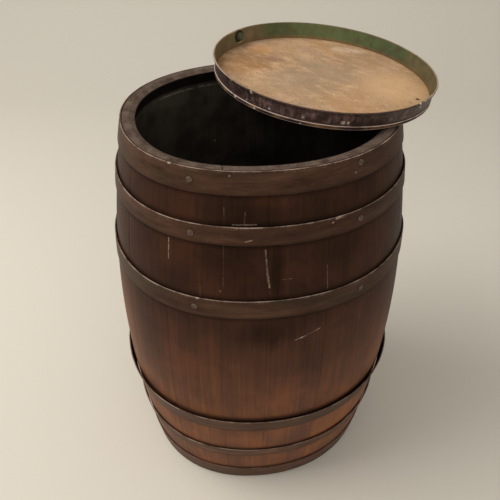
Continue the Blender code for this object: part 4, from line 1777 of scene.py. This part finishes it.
    def fastener(
        self, name: str, head: tuple[float, float], shank: tuple[float, float], square: float,
        place: Matrix, finish: bpy.types.Material, seed: int,
    ) -> None:
        """Builds a headed fastener: a flattened quarter ellipse for the head over a straight shank.

        The head's outline is |cos|^square + |sin|^square = 1, which is round at 2 and squarer above.

        Args:
            name: the node that it stands for.
            head: the head's radius and height.
            shank: the shank's radius and length.
            square: how square the head is.
            place: where it sits.
            finish: its finish.
            seed: picks how its rim wanders and which way it is turned.
        """
        bend = np.linspace(0.0, np.pi / 2.0, self.dome_steps)[:-1]
        dome_radius = head[0] * np.cos(bend) ** (self.dome_bluntness / square)
        dome = np.stack([dome_radius, head[1] * np.sin(bend)], axis=1)
        neck = head[0] * self.neck_share
        foot = np.array([(shank[0], -shank[1]), (shank[0], -self.under_head), (neck, 0.0)])
        profile = np.concatenate([foot, dome])
        points = lathe(profile, self.sides)
        angle = np.degrees(np.arctan2(points[..., 1], points[..., 0]))
        turned = np.radians(angle - self.turn_step * seed)
        box = (np.abs(np.cos(turned)) ** square + np.abs(np.sin(turned)) ** square) ** (-1.0 / square)
        uneven = box * (1.0 + self.rim_wander * waves(angle, seed, self.rim_counts))
        headed = np.where(profile[:, 1] >= 0.0, 1.0, 0.0)[:, None, None]
        points[..., :2] *= headed * (uneven[..., None] - 1.0) + 1.0
        crown = np.clip(profile[:, 1] / head[1], 0.0, 1.0)
        fields = {
            "own": points + seed * self.pattern_step,
            "crown": np.repeat(crown[:, None], self.sides, axis=1),
        }
        skin = Skin(moved(points, place), column_ring=True, fields=fields)
        piece = skin.build(name + "_head", [finish])
        dress(piece, Body.BARREL, [name])

    def build(self, iron: bpy.types.Material, rivet: bpy.types.Material, nail: bpy.types.Material) -> None:
        """Builds the hoops with their rivets and nails.

        Args:
            iron: the hoops' finish.
            rivet: the rivets' finish.
            nail: the nails' finish.
        """
        touch = self.cask.touch
        lap = 360.0 * self.lap_facets / self.facets
        stack = 2.0 * self.thickness + 2.0 * touch
        for number, band in enumerate(self.bands):
            self.build_band(band, number, iron)
            for index, share in enumerate(self.lap_shares):
                place = self.seat(band, band.lap_azimuth + lap * share, stack)
                name = f"{band.name}_rivet_{index + 1}"
                seed = self.rivet_seed + 2 * number + index
                self.fastener(name, self.rivet_head, (self.rivet_shank, stack), 2.0, place,
                              rivet, seed)
            for index, (azimuth, rise) in enumerate(band.nails):
                place = self.seat(band, azimuth, self.thickness + touch, rise)
                name = f"{band.name}_nail_{index + 1}"
                seed = self.nail_seed + 4 * number + index
                self.fastener(name, self.nail_head, self.nail_shank, self.nail_squareness, place,
                              nail, seed)


# The tray

@dataclass
class Tray:
    """The drip tray: a flared wall with a hemmed rim and two laps, a seamed pan and a boss."""

    top_radius: float = 0.1522
    seam_radius: float = 0.1492
    height: float = 0.0235
    sheet: float = 0.0010
    seam_height: float = 0.0034
    lip_height: float = 0.0050
    seam_fit: float = 0.0005
    hem_height: float = 0.0030
    hem_bulge: float = 0.0012
    hem_step: float = 0.0007
    hem_step_curves: tuple[float, float] = (0.0004, 0.0007)
    hem_drop: float = 0.0002
    hem_curve: float = 0.0011
    rim_curve: float = 0.0006
    seam_curve: float = 0.0010
    touch: float = 0.0003
    laps: tuple[float, float] = (140.0, -42.0)
    lap_length: float = 0.0220
    lap_edge: float = 0.0004
    lap_fade: tuple[float, float] = (2.0, 1.2)
    step_in: tuple[float, float] = (0.3, 0.9)
    side_change: tuple[float, float] = (0.2, 0.6)
    outline_step: float = 0.0022
    boss_below_rim: float = 0.0098
    boss_radius: float = 0.0064
    boss_stands_in: float = 0.0052
    flange_radius: float = 0.0092
    flange_thickness: float = 0.0008
    flange_clearance: float = 0.0006
    boss_shank: float = 0.0025
    boss_tail: tuple[float, float] = (0.0040, 0.0010)
    boss_groove: tuple[float, float] = (0.0006, 0.0001)
    flange_swell: tuple[float, float] = (0.0010, 0.0001)
    flange_round: float = 0.0003
    flange_foot: tuple[float, float] = (0.0002, 0.0001)
    tail_shoulder: tuple[float, float] = (0.9, 0.6)
    tail_flat: float = 0.5
    tilt: float = 6.6
    dip_azimuth: float = -32.0
    steps: int = 360
    inner_bend: float = 0.0009
    outer_bend: float = 0.0012
    lip_round: float = 0.0003
    lip_rings: tuple[float, float] = (0.62, 0.40)
    bend_steps: int = 5
    pan_middle: float = 0.0030
    pan_rings: int = 34
    dent: float = 0.0005
    dent_seed: int = 3
    dent_counts: tuple[int, ...] = (3, 5, 8, 13)
    dish: float = 0.0006
    dish_seed: int = 8
    dish_counts: tuple[int, ...] = (2, 3, 5)
    dish_fade: Span = (0.75, 0.95)
    boss_sides: int = 40
    dome_steps: int = 12
    chips: tuple[Chip, ...] = (
        Chip(-145.3, 0.0215, 0.0020, 0.9),
        Chip(-130.6, 0.0213, 0.0026, 1.0),
        Chip(-85.4, 0.0093, 0.0032, 0.55),
        Chip(-83.0, 0.0096, 0.0022, 0.7),
        Chip(-103.8, 0.0095, 0.0020, 0.5),
        Chip(-120.4, 0.0085, 0.0024, 0.5),
        Chip(-43.5, 0.0225, 0.0026, 0.9),
        Chip(-41.6, 0.0165, 0.0020, 0.8),
        Chip(-39.0, 0.0220, 0.0030, 0.4),
        Chip(-134.0, 0.0070, 0.0014, 0.5),
    )
    holes: tuple[Chip, ...] = (
        Chip(-48.6, 0.0232, 0.0022, 1.0),
    )
    worn: tuple[Chip, ...] = (
        Chip(134.8, 0.0115, 0.0095, 0.50),
        Chip(154.0, 0.0080, 0.0085, 0.45),
        Chip(126.0, 0.0080, 0.0070, 0.25),
        Chip(147.0, 0.0050, 0.0060, 0.40),
    )
    solder: tuple[Chip, ...] = (
        Chip(-141.7, 0.0040, 0.0030, 0.8),
        Chip(-128.4, 0.0012, 0.0026, 1.0),
        Chip(-104.5, 0.0012, 0.0016, 0.8),
    )

    def place(self) -> Matrix:
        """Where the tray lies: its tilt about the middle of its pan, which the pan's box gives."""
        dip = math.radians(self.dip_azimuth)
        lean = Matrix.Rotation(math.radians(self.tilt), 4, Vector((-math.sin(dip), math.cos(dip), 0.0)))
        low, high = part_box("tray_floor")
        middle = (low + high) / 2.0 - lean @ Vector((0.0, 0.0, self.seam_height / 2.0))
        return Matrix.Translation(middle) @ lean

    def wall_outer(self, z: Grid) -> Grid:
        """Outer radius of the wall: upright inside the seam, then flared to the rim.

        Args:
            z: heights in the tray's frame.

        Returns:
            The radius at each height.
        """
        foot = self.seam_radius - self.sheet - self.seam_fit
        head = self.top_radius - self.hem_bulge
        share = (z - self.seam_height) / (self.height - self.seam_height)
        return foot + (head - foot) * np.maximum(share, 0.0)

    def chipped(self, own: Wire, chips: tuple[Chip, ...], ragged: Wire) -> Wire:
        """Where any of some chips is on the wall's outer face: the sum of their masks."""
        return sum(chip.mask(own, float(self.wall_outer(chip.height)), ragged) for chip in chips)

    def wall(self) -> Skin:
        """The wall: its section carried round, with the inner face stepped in at each lap.

        The section is given by height and distance in from the wall's outer face; the hem is a
        half circle that bulges past it. A lap starts over its edge's length and fades along its
        second half.

        Returns:
            The wall in the tray's own frame.
        """
        hem = self.height - self.hem_height
        roll = self.hem_bulge
        foot = self.sheet + self.touch
        corners = [
            (0.0, foot, 0.0),
            (0.0, self.seam_height, self.seam_curve),
            (0.0, hem, self.hem_step_curves[0]),
            (-roll, hem + self.hem_step, self.hem_step_curves[1]),
            (-roll, self.height - self.hem_drop, self.hem_curve),
            (self.sheet, self.height, self.rim_curve),
            (self.sheet, self.seam_height, self.seam_curve),
            (self.sheet, foot, 0.0),
        ]
        outline = rounded(corners, self.outline_step)
        depth = outline[:, :1]
        z = outline[:, 1:]
        azimuth = np.linspace(0.0, 360.0, self.steps, endpoint=False)
        lap = math.degrees(self.lap_length / self.top_radius)
        edge = math.degrees(self.lap_edge / self.top_radius)
        extra = []
        for start in self.laps:
            extra += [start, start + edge / 2.0, start + edge]
        azimuth = np.sort(np.concatenate([azimuth, np.mod(extra, 360.0)]))[None, :]
        share_in = depth / self.sheet
        inside = smoothstep(*self.step_in, share_in)
        thicker = np.zeros_like(azimuth)
        for start in self.laps:
            past = np.mod(azimuth - start, 360.0)
            thicker += smoothstep(0.0, edge, past) * smoothstep(*self.lap_fade, past / lap)
        dents = waves(azimuth, self.dent_seed, self.dent_counts) * self.dent
        dents = dents * np.clip(z / self.height, 0.0, 1.0)
        radius = self.wall_outer(z) - depth - inside * thicker * self.sheet + dents
        angle = np.radians(azimuth)
        heights = np.broadcast_to(z, radius.shape)
        points = np.stack([radius * np.cos(angle), radius * np.sin(angle), heights], axis=-1)
        inner = smoothstep(*self.side_change, share_in)
        fields = {"own": points, "inner": np.broadcast_to(inner, radius.shape)}
        return Skin(points, row_ring=True, column_ring=True, fields=fields)

    def pan(self) -> Skin:
        """The pan: a sheet that dishes a little, turned up at its edge into the seam.

        Returns:
            The pan in the tray's own frame.
        """
        reach = self.seam_radius
        sheet = self.sheet
        lip = self.lip_height
        soft = self.lip_round
        inner = reach - sheet
        flat = np.linspace(self.pan_middle, inner - self.outer_bend, self.pan_rings)
        top = np.stack([flat, np.full(flat.shape, sheet)], axis=1)
        bottom = np.stack([flat[::-1], np.zeros(flat.shape)], axis=1)
        quarter = np.linspace(0.0, np.pi / 2.0, self.bend_steps)
        first = 1.0 - np.cos(quarter)
        last = 1.0 - np.sin(quarter)
        inside = np.stack([inner - self.inner_bend * last, sheet + self.inner_bend * first], axis=1)
        edge = np.array([
            (inner, lip - soft),
            (inner + soft, lip),
            (reach - soft, lip),
            (reach, lip - soft),
            (reach, lip * self.lip_rings[0]),
            (reach, lip * self.lip_rings[1]),
        ])
        outside = np.stack([reach - self.outer_bend * first, self.outer_bend * last], axis=1)
        profile = np.concatenate([top, inside, edge, outside, bottom])
        points = lathe(profile, self.steps)
        radius = np.hypot(points[..., 0], points[..., 1])
        angle = np.degrees(np.arctan2(points[..., 1], points[..., 0]))
        inwards = 1.0 - smoothstep(*self.dish_fade, radius / reach)
        dish = waves(angle, self.dish_seed, self.dish_counts) * self.dish
        dish = dish * np.sin(np.pi * radius / reach) ** 2 * inwards
        points[..., 2] += np.abs(dish)
        before = len(top) + len(inside)
        below = np.ones(len(profile))
        below[:before] = 0.0
        below[before] = 0.5
        fields = {"own": points, "outside": np.repeat(below[:, None], self.steps, axis=1)}
        return Skin(points, column_ring=True, fields=fields)

    def boss(self) -> tuple[Skin, Matrix]:
        """The boss: a dome on a round flange inside, its shank through the lap and its tail outside.

        Returns:
            The boss in its own frame, and where that frame sits in the tray's.
        """
        azimuth = self.laps[0] + math.degrees(self.lap_length / self.top_radius) / 2.0
        height = self.height - self.boss_below_rim
        ends = self.wall_outer(np.array([self.seam_height, self.height, height]))
        flare = math.atan2(float(ends[1] - ends[0]), self.height - self.seam_height)
        grip = 2.0 * self.sheet + self.touch + self.flange_clearance
        flange = grip + self.flange_thickness
        bend = np.linspace(0.0, np.pi / 2.0, self.dome_steps)[1:]
        dome_height = -flange - self.boss_stands_in * np.cos(bend)
        dome = np.stack([self.boss_radius * np.sin(bend), dome_height], axis=1)
        wide = self.flange_radius
        soft = self.flange_round
        tail, tail_height = self.boss_tail
        rest = np.array([
            (self.boss_radius + self.boss_groove[0], -flange + self.boss_groove[1]),
            (wide - self.flange_swell[0], -flange - self.flange_swell[1]),
            (wide - soft, -flange),
            (wide, -flange + soft),
            (wide, -grip - self.flange_foot[1]),
            (wide - self.flange_foot[0], -grip),
            (self.boss_shank, -grip),
            (self.boss_shank, 0.0),
            (tail, 0.0),
            (tail * self.tail_shoulder[0], tail_height * self.tail_shoulder[1]),
            (tail * self.tail_flat, tail_height),
        ])
        profile = np.concatenate([dome, rest])
        points = lathe(profile, self.boss_sides)
        crown = np.clip(-(profile[:, 1] + flange) / self.boss_stands_in, 0.0, 1.0)
        crown[len(dome) + 1:len(dome) + 4] = 1.0
        fields = {"own": points, "crown": np.repeat(crown[:, None], self.boss_sides, axis=1)}
        radius = float(ends[2]) + self.touch
        angle = math.radians(azimuth)
        spot = Vector((radius * math.cos(angle), radius * math.sin(angle), height))
        lean = Matrix.Rotation(math.radians(90.0) + flare, 4, "Y")
        seat = Matrix.Translation(spot) @ Matrix.Rotation(angle, 4, "Z") @ lean
        return Skin(points, column_ring=True, fields=fields), seat

    def build(self) -> None:
        """Builds the tray's three pieces where the tray lies, each in its own finish."""
        place = self.place()
        boss, seat = self.boss()
        parts = (
            ("tray_wall", self.wall(), place, TrayPaint().material(self), Slot.TRAY_WALL),
            ("tray_floor", self.pan(), place, TrayRust().material(self), Slot.TRAY_FLOOR),
            ("tray_boss", boss, place @ seat, BossPaint().material(self), Slot.BOSS),
        )
        for name, skin, where, finish, slot in parts:
            skin.points = moved(skin.points, where)
            piece = skin.build(name + "_skin", [finish])
            dress(piece, Body.TRAY, [name])


# The room

@dataclass(frozen=True)
class Lamp:
    """A square soft lamp: where it hangs, the length of its side, its watts and its colour."""

    name: str
    place: Triple
    size: float
    power: float
    tint: Colour


@dataclass
class Studio:
    """A plain pale floor that curves up into a backdrop, soft lamps and the camera."""

    cask: Cask
    floor: Colour = colour("#d9d4ca")
    sky: Colour = colour("#ecebe6")
    far: Colour = colour("#c8c3b4")
    sky_strength: float = 0.55
    reach: float = 9.0
    wall: float = 4.0
    bend_start: float = 1.4
    bend_radius: float = 1.5
    bend_steps: int = 24
    floor_rows: int = 9
    paper: Noise = Noise(260.0, 2.0)
    paper_tone: tuple[float, float] = (0.98, 0.04)
    paper_rough: tuple[float, float] = (0.75, 0.10)
    paper_relief: float = 0.0001
    paper_gloss: float = 0.1
    lamps: tuple[Lamp, ...] = (
        Lamp("window", (-1.5, -0.1, 2.3), 1.8, 50.0, colour("#fffaf2")),
        Lamp("fill", (0.9, -3.3, 1.5), 2.4, 33.0, colour("#fff1e0")),
    )
    lens: float = 41.39
    sensor: float = 36.0
    shift: tuple[float, float] = (0.0208, 0.0111)
    camera_back: float = 0.7209
    camera_up: float = 0.8548
    pitch: float = -36.7199
    yaw: float = -2.0188
    roll: float = -0.4273

    def build_floor(self) -> None:
        """Builds the floor: flat under the stand, then a quarter circle up to an upright wall."""
        bend = np.linspace(0.0, np.pi / 2.0, self.bend_steps)
        start = self.bend_start
        turn = self.bend_radius
        y = np.concatenate([[-self.reach], start + turn * np.sin(bend), [start + turn]])
        z = np.concatenate([[0.0], turn * (1.0 - np.cos(bend)), [self.wall]])
        sides = np.linspace(-self.reach, self.reach, self.floor_rows)[:, None]
        points = np.stack(np.broadcast_arrays(sides, y, z), axis=-1)
        graph = Graph("studio_paper")
        spot = graph.node("ShaderNodeTexCoord", out="Object")
        grain = graph.noise(spot, self.paper)
        shade = graph.scaled(self.floor[:3], grain * self.paper_tone[1] + self.paper_tone[0])
        rough = grain * self.paper_rough[1] + self.paper_rough[0]
        paper = graph.finish(shade, rough, grain, self.paper_relief, self.paper_gloss)
        floor = Skin(points).build("studio_floor", [paper])

    def build_lamp(self, lamp: Lamp) -> None:
        """Hangs a lamp that faces the stand.

        Args:
            lamp: the lamp.
        """
        data = bpy.data.lights.new(lamp.name, "AREA")
        data.size = lamp.size
        data.energy = lamp.power
        data.color = lamp.tint[:3]
        hung = bpy.data.objects.new(lamp.name, data)
        hung.location = lamp.place
        target = Vector((*self.cask.axis, self.cask.height / 2.0))
        hung.rotation_euler = (target - Vector(lamp.place)).to_track_quat("-Z", "Y").to_euler()
        bpy.context.scene.collection.objects.link(hung)

    def build_camera(self) -> None:
        """Sets the camera up at the photograph's angle, turned by yaw, then pitch, then roll."""
        data = bpy.data.cameras.new("camera")
        data.lens = self.lens
        data.sensor_width = self.sensor
        data.shift_x, data.shift_y = self.shift
        camera = bpy.data.objects.new("camera", data)
        camera.location = (self.cask.axis[0], self.cask.axis[1] - self.camera_back, self.camera_up)
        yaw = Matrix.Rotation(math.radians(-self.yaw), 3, "Z")
        pitch = Matrix.Rotation(math.radians(90.0 + self.pitch), 3, "X")
        roll = Matrix.Rotation(math.radians(self.roll), 3, "Z")
        camera.rotation_euler = (yaw @ pitch @ roll).to_euler()
        bpy.context.scene.collection.objects.link(camera)
        bpy.context.scene.camera = camera

    def build(self) -> None:
        """Sets up the floor, the light and the camera."""
        scene = bpy.context.scene
        scene.view_settings.view_transform = "Standard"
        world = bpy.data.worlds.new("studio")
        scene.world = world
        graph = Graph("studio_sky", world)
        rays = ("Is Camera Ray", "Is Glossy Ray", "Is Transmission Ray")
        seen, shiny, through = (graph.node("ShaderNodeLightPath", out=ray) for ray in rays)
        shade = graph.blend((seen + shiny + through).least(1.0), self.sky, self.far)
        world.node_tree.links.new(shade.socket, graph.shader.inputs["Color"])
        graph.shader.inputs["Strength"].default_value = self.sky_strength
        self.build_floor()
        for lamp in self.lamps:
            self.build_lamp(lamp)
        self.build_camera()


def main() -> None:
    """Builds the stand piece by piece in its frame."""
    logging.basicConfig(level=logging.INFO, format="%(name)s: %(message)s")
    cask = Cask()
    hoops = Hoops(cask)
    widest = hoops.bands[2]
    steepest = max(float(hoops.inner(widest, 0.0)), float(hoops.inner(widest, 1.0)))
    cask.find_axis(widest, steepest, hoops.thickness, hoops.facets)
    log.info("axis at %.5f, %.5f", *cask.axis)
    Studio(cask).build()
    staves = Staves(cask)
    bare = OakInside().material(staves)
    staves.build([OakOutside().material(staves, hoops), bare])
    Head(cask).build([bare])
    nails = NailIron()
    rivet = nails.material("rivet_iron_finish", 0.25)
    hoops.build(HoopIron().material(hoops), rivet, nails.material("nail_iron_finish", 1.0))
    Tray().build()


if __name__ == "__main__":
    main()
